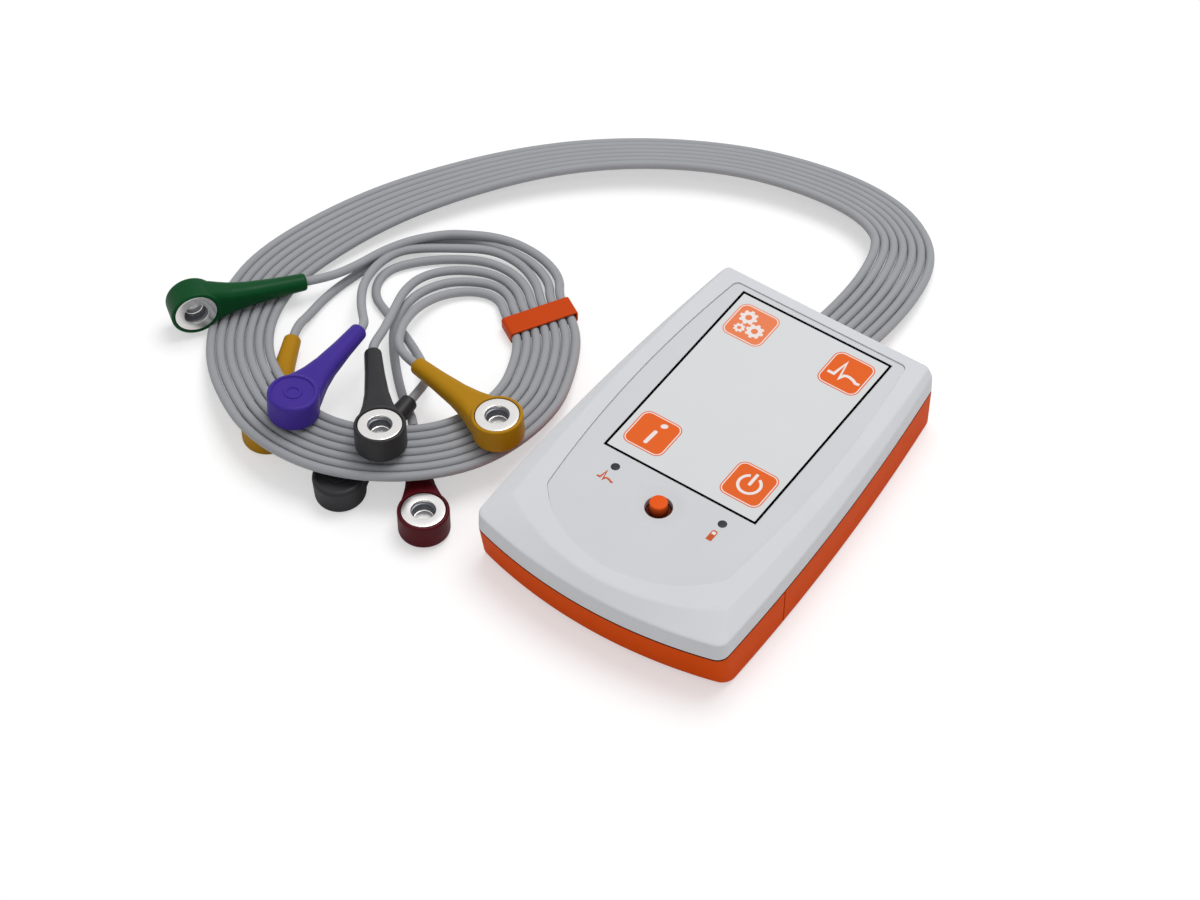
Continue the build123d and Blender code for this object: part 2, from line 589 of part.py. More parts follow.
# Four screws from below
for name, (x, y) in SCREWS.items():
    with BuildPart() as screw:
        seat_z = SCREW_SUNK + SCREW_HEAD_H
        with BuildSketch(Plane.XY.offset(SCREW_SUNK)):
            with Locations((x, y)):
                RegularPolygon(SCREW_HEAD_R, SMALL_SIDES)
        extrude(amount=SCREW_HEAD_H)
        with BuildSketch(Plane.XY.offset(seat_z)):
            with Locations((x, y)):
                RegularPolygon(SCREW_SHANK_R, SMALL_SIDES)
        extrude(amount=SPLIT_Z + PILOT_DEPTH - 4 * FIT_GAP - seat_z)
    save(screw, f"case_screw_{name}")

# Lead socket on the floor behind the rear wall, and the plug in it with its moulded grip
socket_rear_y = REAR_Y - WALL - SIDE_DRAFT
socket_front_y = socket_rear_y - SOCKET_DEPTH
with BuildPart() as lead_socket:
    cavity_width = PLUG_WIDTH + 2 * FIT_GAP
    cavity_height = PLUG_HEIGHT + 2 * FIT_GAP
    with BuildSketch(Plane.XZ.offset(-socket_front_y)):
        with Locations((0, PLUG_Z)):
            Rectangle(cavity_width + 2 * SOCKET_WALL, cavity_height + 2 * SOCKET_WALL)
    extrude(amount=-SOCKET_DEPTH)
    with BuildSketch(Plane.XZ.offset(-socket_rear_y)):
        with Locations((0, PLUG_Z)):
            Rectangle(cavity_width, cavity_height)
    extrude(amount=PLUG_INSERT - WALL, mode=Mode.SUBTRACT)
save(lead_socket, "lead_socket")

with BuildPart() as lead_plug:
    with BuildSketch(Plane.XZ.offset(-GRIP_Y)):
        with Locations((0, PLUG_Z)):
            Rectangle(PLUG_WIDTH, PLUG_HEIGHT)
    extrude(amount=PLUG_INSERT)
    with BuildSketch(Plane.XZ.offset(-GRIP_Y)):
        with Locations((0, PLUG_Z)):
            RectangleRounded(GRIP_WIDTH, GRIP_HEIGHT, GRIP_EDGE_R)
    extrude(amount=-GRIP_LENGTH)
save(lead_plug, "lead_plug")


def ribbon_points(place):
    """Route of one lead in the ribbon; place counts pitches from the middle, outwards."""
    points = []
    for i, (x, y, z, tilt) in enumerate(RIBBON):
        before = Vector(x, y) - Vector(*RIBBON[i - 1][:2]) if i else Vector(0, 1)
        after = Vector(*RIBBON[i + 1][:2]) - Vector(x, y) if i + 1 < len(RIBBON) else before
        along = before.normalized() + after.normalized()
        mitre = 2 / along.length
        outwards = Vector(along.Y, -along.X).normalized()
        shift = place * LEAD_PITCH
        step = outwards * (shift * cos(radians(tilt)) * mitre)
        points.append(Vector(x, y, z - shift * sin(radians(tilt))) + step)
    return points


def snap_plane(name):
    """Frame of one connector: origin in its disc, x towards its lead, z out of its metal face."""
    middle, towards, face = SNAPS[name]
    x_dir = (Vector(*towards) - Vector(*middle)).normalized()
    across = Vector(*face).cross(x_dir)
    return Plane(Vector(*middle), x_dir=x_dir, z_dir=x_dir.cross(across))


# The leads: each a tube of straight runs and tangent arcs, four-sided, of a round lead's section
lead_names = list(LOOSE)
section_radius = LEAD_DIAMETER * CORNER_SHARE
for number, name in enumerate(lead_names):
    frame = snap_plane(name)
    tail_end = frame.from_local_coords(Vector(SNAP_REACH, 0, 0))
    last = frame.from_local_coords(Vector(SNAP_REACH + STRAIGHT[name], 0, 0))
    middle_place = (len(lead_names) - 1) / 2
    points = ribbon_points(middle_place - number) + [Vector(*p) for p in LOOSE[name]]
    points += [last, tail_end]
    runs = [(b - a).length for a, b in zip(points, points[1:])]
    turns = [(q - p).get_angle(r - q) for p, q, r in zip(points, points[1:], points[2:])]
    radii = [
        ROUTE_SHARE * min(runs[i], runs[i + 1]) / tan(radians(turn / 2))
        for i, turn in enumerate(turns)
    ]
    with BuildPart() as lead:
        with BuildLine() as route:
            FilletPolyline(*points, radius=radii)
        path = route.wires()[0]
        with BuildSketch(Plane(path @ 0, x_dir=(1, 0, 0), z_dir=path % 0)):
            section = RegularPolygon(section_radius, LEAD_SIDES, rotation=180 / LEAD_SIDES)
        sweep(path=path)
    print(
        f"lead_{name}: length {path.length:.0f}, smallest radius {min(radii):.1f}, largest"
        f" turn {max(turns):.0f}, volume over section times length"
        f" {lead.part.volume / (section.area * path.length):.4f}"
    )
    save(lead, f"lead_{name}")

# Band: a flat sleeve round the seven leads where the ribbon ends
band_start, band_end = Vector(*RIBBON[-2][:3]), Vector(*RIBBON[-1][:3])
band_along = (band_end - band_start).normalized()
band_middle = (band_start + band_end) / 2
band_plane = Plane(band_middle - band_along * (BAND_LENGTH / 2),
                   x_dir=Vector(band_along.Y, -band_along.X, 0), z_dir=band_along)
with BuildPart() as lead_band:
    bundle_width = (len(lead_names) - 1) * LEAD_PITCH + LEAD_DIAMETER + 4 * BAND_GAP
    bundle_height = LEAD_DIAMETER + 2 * BAND_GAP
    with BuildSketch(band_plane):
        Rectangle(bundle_width + 2 * BAND_WALL, bundle_height + 2 * BAND_WALL)
        Rectangle(bundle_width, bundle_height, mode=Mode.SUBTRACT)
    extrude(amount=BAND_LENGTH)
save(lead_band, "lead_band")

# Snap connectors: a moulded disc with a tapering tail, and a metal cup pressed into its face
for name in lead_names:
    frame = snap_plane(name)
    with BuildPart() as housing:
        with BuildSketch(frame.offset(-SNAP_THICKNESS / 2)):
            RegularPolygon(SNAP_RADIUS, ROUND_SIDES)
        extrude(amount=SNAP_THICKNESS)
        for x, half_width, half_height in (TAIL_ROOT, TAIL_BLEND, TAIL_MIDDLE, TAIL_END, TAIL_TIP):
            here = Plane(frame.from_local_coords(Vector(x, 0, 0)), x_dir=frame.y_dir,
                         z_dir=frame.x_dir)
            with BuildSketch(here) as section:
                Rectangle(2 * half_width, 2 * half_height)
                chamfer(section.vertices(), TAIL_CHAMFER * half_height)
        loft(ruled=True)
        with BuildSketch(frame.offset(SNAP_THICKNESS / 2 - CUP_HEIGHT)):
            RegularPolygon(CUP_RADIUS + CUP_GAP, ROUND_SIDES)
        extrude(amount=CUP_HEIGHT, mode=Mode.SUBTRACT)
    save(housing, f"snap_housing_{name}")
    with BuildPart() as cup:
        with BuildSketch(frame.offset(SNAP_THICKNESS / 2 - CUP_HEIGHT)):
            RegularPolygon(CUP_RADIUS, ROUND_SIDES)
        extrude(amount=CUP_HEIGHT)
        with BuildSketch(frame.offset(SNAP_THICKNESS / 2)):
            Circle(CUP_BORE_R)
        extrude(amount=-CUP_DEPTH, mode=Mode.SUBTRACT)
    save(cup, f"snap_socket_{name}")
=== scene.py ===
"""Holter monitor: a flat recorder with a touch display, and seven leads with snap connectors.

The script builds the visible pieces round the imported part.
Sizes are in metres, in the part's frame.
"""
import json
import math

import bmesh
import bpy
from mathutils import Matrix, Vector

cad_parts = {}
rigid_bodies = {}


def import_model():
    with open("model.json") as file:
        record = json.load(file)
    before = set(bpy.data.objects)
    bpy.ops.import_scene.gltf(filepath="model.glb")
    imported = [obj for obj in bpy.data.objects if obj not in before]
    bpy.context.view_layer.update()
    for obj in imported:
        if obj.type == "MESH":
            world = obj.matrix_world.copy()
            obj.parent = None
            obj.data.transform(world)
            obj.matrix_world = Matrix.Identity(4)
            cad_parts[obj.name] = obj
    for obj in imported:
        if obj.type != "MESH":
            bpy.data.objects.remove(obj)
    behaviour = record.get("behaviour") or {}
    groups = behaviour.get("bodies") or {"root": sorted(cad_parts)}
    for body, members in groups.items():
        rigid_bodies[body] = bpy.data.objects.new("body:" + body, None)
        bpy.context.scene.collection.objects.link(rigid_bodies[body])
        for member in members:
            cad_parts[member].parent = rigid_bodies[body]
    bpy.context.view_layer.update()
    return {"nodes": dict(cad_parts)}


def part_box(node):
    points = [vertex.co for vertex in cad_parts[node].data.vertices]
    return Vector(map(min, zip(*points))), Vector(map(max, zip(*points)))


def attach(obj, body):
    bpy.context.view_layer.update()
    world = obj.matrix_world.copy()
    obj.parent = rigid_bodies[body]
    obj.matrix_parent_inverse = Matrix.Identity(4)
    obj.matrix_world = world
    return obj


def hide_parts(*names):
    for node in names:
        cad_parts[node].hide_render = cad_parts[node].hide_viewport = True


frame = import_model()

bl_info = {
    "name": "Holter monitor",
    "version": (1, 0, 0),
    "blender": (4, 5, 0),
    "location": "View3D > Sidebar > Recorder",
    "description": "Builds the pieces of a holter monitor round its packed frame",
    "category": "Add Mesh",
}

# Places that the frame gives
SHELL_LOW, SHELL_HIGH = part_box("top_shell")
PANEL_LOW, PANEL_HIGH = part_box("front_panel")
WINDOW_LOW, WINDOW_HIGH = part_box("display_window")
BUTTON_LOW, BUTTON_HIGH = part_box("event_button")
PLUG_LOW, PLUG_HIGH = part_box("lead_plug")
LIGHT_LOW, LIGHT_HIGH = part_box("light_pipe_battery")
SPLIT_Z = SHELL_LOW.z
CROWN_Z = SHELL_HIGH.z
REAR_Y = SHELL_HIGH.y
FRONT_Y = SHELL_LOW.y
RECESS_Z = PANEL_LOW.z
PANEL_Z = PANEL_HIGH.z
WINDOW_HALF = (WINDOW_HIGH - WINDOW_LOW) / 2
DISPLAY_Y = (WINDOW_LOW.y + WINDOW_HIGH.y) / 2
BUTTON_Y = (BUTTON_LOW.y + BUTTON_HIGH.y) / 2
LIGHT_X = (LIGHT_LOW.x + LIGHT_HIGH.x) / 2
LIGHT_Y = (LIGHT_LOW.y + LIGHT_HIGH.y) / 2

# Case: walls, drafts and the upper shell's shoulders
WALL = 0.002
FLOOR = 0.0014
ROOF = 0.0024
CREASE_Z = SPLIT_Z + 0.0046
CREASE_INSET = 0.00015
SIDE_DRAFT = 0.0001
FRONT_DRAFT = 0.0018
BOTTOM_SIDE_R = 0.0009
BOTTOM_FRONT_R = 0.003
SEAM_REBATE = 0.0004
SEAM_SHADOW = 0.0008
SEAM_GAP = 0.0001
FIT_GAP = 0.0001
OVERCUT = 0.001
PANEL_GAP = 0.00007
PANEL_LAND = 0.001
EDGE_BREAK = 0.00006
DOOR_SEAM_Y = -0.0194
DOOR_GAP = 0.0004
SHELL_SEAM_Y = DOOR_SEAM_Y + DOOR_GAP / 2
DOOR_EDGE_Y = DOOR_SEAM_Y - DOOR_GAP / 2

# Plans of the case; the two reaches say where a corner's arc starts and ends, in its radii
CASE_PLAN = {
    "half_width": SHELL_HIGH.x, "widest_y": -0.0224, "side_radius": 0.585,
    "front_y": FRONT_Y, "front_radius": 0.108, "rear_y": REAR_Y,
    "front_corner": 0.003, "rear_corner": 0.0012,
}
CROWN_PLAN = {
    "half_width": 0.0289, "widest_y": 0.0006, "side_radius": 0.56,
    "front_y": -0.0439, "front_radius": 0.042, "rear_y": REAR_Y - CREASE_INSET,
    "front_corner": 0.0014, "rear_corner": 0.0009,
}
PANEL_PLAN = {
    "half_width": 0.02554, "widest_y": 0.00573, "side_radius": 0.27606,
    "front_y": -0.0402, "front_radius": 0.02033, "rear_y": 0.0449,
    "front_corner": 0.0025, "rear_corner": 0.0015,
}
FRONT_REACH, REAR_REACH = 1.2, 1.4
LEAST_FRONT_CORNER, LEAST_REAR_CORNER = 0.001, 0.0008
FRONT_STEPS, CORNER_STEPS, SIDE_STEPS, REAR_STEPS = 28, 8, 26, 12
BOTTOM_STEPS = 12

# Sides of turned forms, from the finest to the smallest
FINE_STEPS, ROUND_STEPS, LIGHT_STEPS, POST_STEPS, DOT_STEPS = 96, 64, 48, 32, 24
DISH_STEPS = 16

# Inside of the lower half
POST_R = 0.0024
POSTS = [(-0.023, 0.0411), (0.023, 0.0411), (-0.0256, -0.0124), (0.0256, -0.0124)]
BOARD_PINS = [(-0.018, 0.026), (0.018, 0.026)]
BOARD_PIN_R = 0.0016
BOARD_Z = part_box("circuit_board")[0].z
BULKHEAD = 0.00175
RAIL_X = 0.02265
RAIL_WIDTH = 0.003
RAIL_FRONT_Y = -0.041
TONGUE_WIDTH = 0.002
TONGUE_HEIGHT = 0.0012
TONGUE_Z = 0.0052
RIB_HEIGHT = 0.001
SCREW_SUNK = 0.0009
SCREW_HEAD_R = 0.0018
SCREW_HEAD_H = 0.0015
SCREW_SHANK_R = 0.0009
SCREW_TOP_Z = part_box("case_screw_rear_left")[1].z
SLOT_WIDTH = 0.0005
SLOT_REACH = 1.3

# Cells: the nub at one end, and how far the end's bare ring reaches in
CELL_NUB_R = 0.0019
CELL_NUB_H = 0.0012
CELL_SHOULDER = 0.0009

# Display, indicators and the event button
DISPLAY_SEAT = 0.0012
WINDOW_GAP = 0.00003
WINDOW_LAND = 0.0006
FRAME_INSET = 0.0001
FRAME_WIDTH = 0.00058
PRINT_THICKNESS = 0.00003
THIN_PRINT = 0.00002
LIGHT_R = 0.001
BUTTON_CAP_R = 0.002
BUTTON_BASE_R = 0.003
BUTTON_FLANGE_R = 0.00375
BUTTON_FLANGE_H = 0.0007
BUTTON_RECESS = 0.0001
BUTTON_BASE_DEPTH = 0.0016
DISH_R = 0.0066
DISH_DEPTH = 0.0003

# Touch symbols: middle of each on the display, and the size that they share
SYMBOL_SIDE = 0.0105
SYMBOL_CORNER = 0.0021
SYMBOL_LINE = 0.00025
SYMBOL_GAP = 0.00027
SYMBOL_X = 0.0127
SYMBOL_REAR_Y = 0.0356
SYMBOL_FRONT_Y = -0.0036
TRACE_SIGN, BATTERY_SIGN = (-0.014, -0.0195), (0.0139, -0.0201)

# Plug and band
PLUG_Z = 0.0046
PLUG_SIZE = (0.016, 0.0046)
GRIP_SIZE = (0.0175, 0.0064)
GRIP_Y = REAR_Y + SEAM_GAP
GRIP_RIBS = {
    "Count": 4, "Pitch": 0.0011, "Thickness": 0.0006,
    "Width": GRIP_SIZE[0] - 0.0013, "Height": GRIP_SIZE[1] - 0.0015,
}
BAND_LENGTH = 0.0056
BAND_WALL = 0.0005
BAND_GAP_ACROSS, BAND_GAP_ABOVE = 0.0002, 0.0001

# Snap connector, in its own frame: x towards the lead, z out of the metal face
SNAP_R = 0.00585
SNAP_HALF = 0.0033
SNAP_REACH = 0.027
SNAP_BACK_R = 0.0049
SNAP_RELIEF = 0.00028
SNAP_GLOSS, SNAP_DARK_GLOSS = 0.12, 0.24
CUP_R = 0.00502
CUP_SUNK = 0.00012
CUP_HEIGHT = 0.004
CUP_DEPTH = 0.003
CUP_BORE_R = 0.0028
CUP_STEP = 0.0004
CUP_STEP_Z = 0.0008
CUP_GAP = 0.00014
VOXEL = 0.0002

# Tail of a connector: distance from the disc's middle, half width, half height, corner radius
TAIL = [
    (0.0, 0.0054, 0.0028, 0.0012),
    (0.0022, 0.0053, 0.0029, 0.0014),
    (0.0045, 0.0047, 0.00295, 0.0017),
    (0.0065, 0.0041, 0.0029, 0.002),
    (0.0088, 0.0035, 0.0028, 0.0022),
    (0.013, 0.0028, 0.0025, 0.0021),
    (0.02, 0.00228, 0.00218, 0.002),
    (SNAP_REACH - 0.0004, 0.00202, 0.002, 0.0019),
    (SNAP_REACH, 0.00175, 0.00175, 0.0017),
]

# Middle of the ribbon of leads: x, y, z and its tilt in degrees, inner edge up
RIBBON = [
    (0.0, 0.0562, 0.0046, 0),
    (0.0014, 0.0684, 0.0046, 3),
    (-0.0014, 0.0859, 0.004, 16),
    (-0.0093, 0.093, 0.0037, 18),
    (-0.0207, 0.0955, 0.0037, 18),
    (-0.0359, 0.094, 0.0038, 20),
    (-0.0529, 0.089, 0.0039, 22),
    (-0.0718, 0.0785, 0.0039, 22),
    (-0.0883, 0.0645, 0.0038, 20),
    (-0.1023, 0.047, 0.0033, 16),
    (-0.1144, 0.0263, 0.0026, 11),
    (-0.1217, 0.0019, 0.0019, 4),
    (-0.12, -0.0128, 0.0019, 4),
    (-0.1142, -0.0245, 0.0024, 5),
    (-0.1034, -0.035, 0.0069, 6),
    (-0.0887, -0.0431, 0.0097, 2),
    (-0.0732, -0.0427, 0.0094, 0),
    (-0.0584, -0.0348, 0.0092, 0),
    (-0.0485, -0.0223, 0.0082, 0),
    (-0.0465, -0.004, 0.0056, 0),
    (-0.052, 0.0102, 0.0026, 0),
    (-0.0572, 0.0187, 0.0021, 0),
    (-0.065, 0.0233, 0.0021, 0),
]

# Each lead past the band, then how far its last straight stands out of its connector
LOOSE = {
    "green": [(-0.0652, 0.0351, 0.0016), (-0.0738, 0.0382, 0.0017), (-0.0833, 0.037, 0.0026),
              (-0.0923, 0.0314, 0.0034), (-0.0961, 0.028, 0.0034), (-0.0998, 0.0235, 0.0035),
              (-0.1022, 0.019, 0.0036), (-0.1037, 0.0149, 0.0038), (-0.1046, 0.0107, 0.0042),
              (-0.1058, 0.0062, 0.0047), (-0.107, 0.0026, 0.0053)],
    "ochre": [(-0.0666, 0.0326, 0.0012), (-0.0738, 0.0356, 0.0012), (-0.0837, 0.0354, 0.0012),
              (-0.0945, 0.0306, 0.0012), (-0.101, 0.0227, 0.0012), (-0.1039, 0.015, 0.0012),
              (-0.1055, 0.0071, 0.0012), (-0.1063, 0.0029, 0.0012), (-0.1066, -0.0028, 0.0014),
              (-0.1059, -0.0084, 0.002)],
    "violet": [(-0.0683, 0.0301, 0.0017), (-0.0749, 0.0328, 0.0023), (-0.0833, 0.0327, 0.0023),
               (-0.0917, 0.0272, 0.0024), (-0.0979, 0.0228, 0.0024), (-0.101, 0.019, 0.0026),
               (-0.1019, 0.0141, 0.0032), (-0.1013, 0.0088, 0.004), (-0.0994, 0.0036, 0.005),
               (-0.0957, -0.0016, 0.0067), (-0.0917, -0.006, 0.0092)],
    "charcoal": [(-0.0696, 0.028, 0.0012), (-0.0758, 0.0303, 0.0012), (-0.0833, 0.0295, 0.0012),
                 (-0.0908, 0.0249, 0.0012), (-0.0961, 0.02, 0.0012), (-0.0994, 0.0154, 0.0012),
                 (-0.1001, 0.0116, 0.0012), (-0.099, 0.0078, 0.0012), (-0.0964, 0.0049, 0.0012),
                 (-0.0919, 0.003, 0.0012), (-0.0859, 0.0005, 0.0012), (-0.0804, -0.0021, 0.0012),
                 (-0.0756, -0.005, 0.0015), (-0.0724, -0.008, 0.0028), (-0.0696, -0.0109, 0.0053)],
    "black": [(-0.0707, 0.0258, 0.0012), (-0.0762, 0.0274, 0.0012), (-0.0821, 0.026, 0.0014),
              (-0.0882, 0.0217, 0.0018), (-0.0915, 0.0157, 0.0028), (-0.0911, 0.0086, 0.0044),
              (-0.0884, 0.0018, 0.0064), (-0.0859, -0.0036, 0.0086), (-0.0839, -0.0086, 0.0103)],
    "red": [(-0.0714, 0.0235, 0.0012), (-0.076, 0.0246, 0.0012), (-0.0811, 0.0228, 0.0012),
            (-0.0863, 0.0188, 0.0014), (-0.089, 0.012, 0.0024), (-0.0887, 0.0049, 0.0034),
            (-0.0867, -0.0011, 0.0037), (-0.0834, -0.0058, 0.0024), (-0.079, -0.0104, 0.0013),
            (-0.0745, -0.0146, 0.0012), (-0.0704, -0.0179, 0.0015)],
    "gold": [(-0.0723, 0.0211, 0.0013), (-0.0763, 0.0213, 0.0013), (-0.0805, 0.0192, 0.0015),
             (-0.0846, 0.0143, 0.002), (-0.0858, 0.0071, 0.0038), (-0.0843, 0.0, 0.006),
             (-0.0815, -0.0055, 0.0084), (-0.0786, -0.0096, 0.0101)],
}
STRAIGHT = {"green": 0.0032, "ochre": 0.0038, "violet": 0.0022, "charcoal": 0.004, "black": 0.0022,
            "red": 0.0034, "gold": 0.004}

# Each connector: middle of its disc, a point towards its lead, and the way its metal face looks
SNAPS = {
    "green": ((-0.1266, -0.0249, 0.0072), (-0.111, -0.0032, 0.0056), (0.78, -0.62, 0.06)),
    "ochre": ((-0.0918, -0.0416, 0.0033), (-0.1036, -0.0173, 0.0033), (0, 0, 1)),
    "violet": ((-0.0848, -0.0397, 0.0147), (-0.087, -0.0129, 0.0127), (0, 0, -1)),
    "charcoal": ((-0.0681, -0.0456, 0.0039), (-0.0685, -0.0186, 0.0061), (0, 0, -1)),
    "black": ((-0.0631, -0.0362, 0.0147), (-0.0809, -0.016, 0.0119), (0, 0, 1)),
    "red": ((-0.0466, -0.043, 0.0036), (-0.0646, -0.0229, 0.0028), (0, 0, 1)),
    "gold": ((-0.0445, -0.0178, 0.013), (-0.071, -0.0128, 0.0112), (0, 0, 1)),
}

SHARP_ANGLE = math.radians(38)
TOUCH = 0.00001

# Place of the ring on each side of a softened edge, in reaches from it
HOLD = 1.35

# Floor: half its side, its depth, and how far it lies under the part; its white as the lamps
# and as the camera see it, and how much brighter mirror-like surfaces see the sky
FLOOR_HALF, FLOOR_DEPTH, FLOOR_DROP = 2, 0.01, 0.00002
FLOOR_WHITE, FLOOR_SEEN = 0.93, 0.6
SKY_IN_GLOSS = 0.35


def srgb(code):
    """A colour given as six hex digits, in Blender's linear values."""
    parts = [int(code[i:i + 2], 16) / 255 for i in (0, 2, 4)]
    return [p / 12.92 if p <= 0.04045 else ((p + 0.055) / 1.055) ** 2.4 for p in parts]


# Settings

def number(name, default, description, **limits):
    """A number that a user may change."""
    return bpy.props.FloatProperty(name=name, description=description, default=default,
                                   **{"min": 0, **limits})


def length(name, default, description):
    """A size that a user may change."""
    return number(name, default, description, unit="LENGTH", subtype="DISTANCE", precision=5)


def spot(name, default, description):
    """A place that a user may change."""
    return bpy.props.FloatVectorProperty(name=name, description=description, default=default,
                                         subtype="TRANSLATION")


def colour(name, code, description):
    """A colour that a user may change."""
    return bpy.props.FloatVectorProperty(name=name, description=description,
                                         default=srgb(code), min=0, max=1, subtype="COLOR")


class RecorderCase(bpy.types.PropertyGroup):
    """Edges and finishes of the case."""
    crease_softness: length("Crease softness", 0.0006, "How far the shoulder's crease is rounded")
    crown_softness: length("Crown softness", 0.0005, "How far the crown's edge is rounded")
    recess_softness: length("Recess softness", 0.00007, "Rounding of the panel recess's rim")
    upper_colour: colour("Upper shell", "dadce0", "Colour of the upper shell")
    panel_colour: colour("Front panel", "d5d7da", "Colour of the front panel")
    lower_colour: colour("Lower half", "dd4f04", "Colour of the lower shell and door")
    button_colour: colour("Button", "ee5a10", "Colour of the event button")
    window_colour: colour("Display", "dee0e1", "Colour of the display")
    symbol_colour: colour("Symbols", "ea6624", "Colour of the touch symbols")
    pale_symbol_colour: colour("Pale symbol", "f08659", "Colour of the settings symbol")
    light_colour: colour("Indicators", "3a3d42", "Colour of the indicator windows")


class RecorderLeads(bpy.types.PropertyGroup):
    """Leads, band and snap connectors."""
    diameter: length("Lead diameter", 0.00217, "Outside diameter of one lead")
    pitch: length("Lead pitch", 0.00225, "Distance between leads in the ribbon")
    jacket_colour: colour("Leads", "a3a5a9", "Colour of the leads")
    band_colour: colour("Band", "cb4608", "Colour of the band")
    green: colour("Green", "054a22", "Colour of the green connector")
    ochre: colour("Ochre", "b5830f", "Colour of the ochre connector")
    violet: colour("Violet", "432e94", "Colour of the violet connector")
    charcoal: colour("Charcoal", "2c2c2f", "Colour of the charcoal connector")
    black: colour("Black", "28282a", "Colour of the second charcoal connector")
    red: colour("Red", "520c16", "Colour of the dark red connector")
    gold: colour("Gold", "b5830f", "Colour of the yellow connector")


class RecorderStage(bpy.types.PropertyGroup):
    """Camera and light."""
    lens: number("Lens", 103.5, "Focal length in millimetres", min=10, unit="CAMERA")
    camera_place: spot("Camera", (0.2598, -0.4129, 0.5936), "Place of the camera")
    camera_aim: spot("Aim", (-0.0193, -0.01437, 0.018), "Point that the camera looks at")
    key_place: spot("Key", (-0.02, 0.3, 0.88), "Place of the overhead lamp")
    key_size: length("Key size", 0.6, "Width of the overhead lamp")
    key_power: number("Key power", 4.5, "Power of the overhead lamp", unit="POWER")
    sky_strength: number("Sky", 0.47, "Strength of the even light", subtype="FACTOR")
    floor_lift: number("Floor lift", 0.5, "How much whiter the camera sees the floor", max=1,
                       subtype="FACTOR")


# Shapes

def rounded(before, corner, after, radius, steps):
    """Arc that rounds the corner met on the way from one point to another."""
    back, ahead = (before - corner).normalized(), (after - corner).normalized()
    half = back.angle(ahead) / 2
    middle = corner + (back + ahead).normalized() * (radius / math.sin(half))
    spoke = corner + back * (radius / math.tan(half)) - middle
    turn = math.copysign(math.pi - 2 * half, back.y * ahead.x - back.x * ahead.y)
    return [middle + Matrix.Rotation(turn * i / steps, 2) @ spoke for i in range(steps + 1)]


def eased(points, radii, steps=5):
    """An open profile whose inner corners are rounded to the radii; 0 keeps a corner hard."""
    points = [Vector(p) for p in points]
    result = [points[0]]
    for before, corner, after, radius in zip(points, points[1:], points[2:], radii):
        result += rounded(before, corner, after, radius, steps) if radius else [corner]
    return result + [points[-1]]


def plan(half_width, widest_y, side_radius, front_y, front_radius, rear_y, front_corner,
         rear_corner, inset=0.0, front_inset=0.0):
    """Bowed plan of a case part, from the middle of its front to the right and round."""
    front_y += inset + front_inset
    rear_y -= inset
    front_corner = max(front_corner - inset / 2, LEAST_FRONT_CORNER)
    rear_corner = max(rear_corner - inset / 2, LEAST_REAR_CORNER)

    def side(y):
        return half_width - inset - (y - widest_y) ** 2 / (2 * side_radius)

    corner_y = front_y + side(front_y) ** 2 / (2 * front_radius)
    corner = Vector((side(corner_y), corner_y))
    rise = corner_y - front_y
    arc_radius = (corner.x ** 2 + rise ** 2) / (2 * rise)

    def front(x):
        return front_y + arc_radius - math.sqrt(arc_radius ** 2 - x ** 2)

    front_end = corner.x - FRONT_REACH * front_corner
    side_start = corner_y + FRONT_REACH * front_corner
    side_end = rear_y - REAR_REACH * rear_corner
    right = []
    for i in range(FRONT_STEPS + 1):
        x = front_end * i / FRONT_STEPS
        right.append(Vector((x, front(x))))
    right += rounded(right[-1], corner, Vector((side(side_start), side_start)), front_corner,
                     CORNER_STEPS)
    for i in range(SIDE_STEPS + 1):
        y = side_start + (side_end - side_start) * i / SIDE_STEPS
        right.append(Vector((side(y), y)))
    rear = Vector((side(rear_y), rear_y))
    right += rounded(right[-1], rear, Vector((0, rear_y)), rear_corner, CORNER_STEPS)
    rear_end = rear.x - REAR_REACH * rear_corner
    right += [Vector((rear_end * (1 - i / REAR_STEPS), rear_y)) for i in range(REAR_STEPS + 1)]
    return right + [Vector((-p.x, p.y)) for p in reversed(right[1:-1])]


def oblong(half_width, half_height, radius, steps=6):
    """Closed rectangle with round corners, counterclockwise."""
    corners = [Vector((x * half_width, y * half_height))
               for x, y in ((1, -1), (1, 1), (-1, 1), (-1, -1))]
    result = []
    for i, corner in enumerate(corners):
        result += rounded(corners[i - 1], corner, corners[(i + 1) % 4], radius, steps)
    return result


def circle(radius, steps, middle=(0, 0), start=0.0, turn=math.tau):
    """Points on a circle or, with less than a whole turn, on an arc with both of its ends."""
    count = steps if turn == math.tau else steps + 1
    return [Vector(middle) + Vector((math.cos(start + turn * i / steps),
                                     math.sin(start + turn * i / steps))) * radius
            for i in range(count)]


def ring(points, z):
    """Points of a plan, lifted to a height."""
    return [Vector((p.x, p.y, z)) for p in points]


def level(z, shape, **insets):
    """Outline of a case part at a height."""
    return ring(plan(**shape, **insets), z)


def softened(rings, reaches, steps=5):
    """Round the rings between the first and last; a reach is how far off a ring that starts."""
    result = [rings[0]]
    for before, here, after, reach in zip(rings, rings[1:], rings[2:], reaches):
        if not reach:
            result.append(here)
            continue
        rows = [[] for _ in range(steps + 3)]
        for a, p, b in zip(before, here, after):
            back, ahead = (a - p).normalized() * reach, (b - p).normalized() * reach
            rows[0].append(p + back * HOLD)
            for i in range(steps + 1):
                t = i / steps
                rows[i + 1].append(p + back * (1 - t) ** 2 + ahead * t ** 2)
            rows[-1].append(p + ahead * HOLD)
        result += rows
    return result + [rings[-1]]


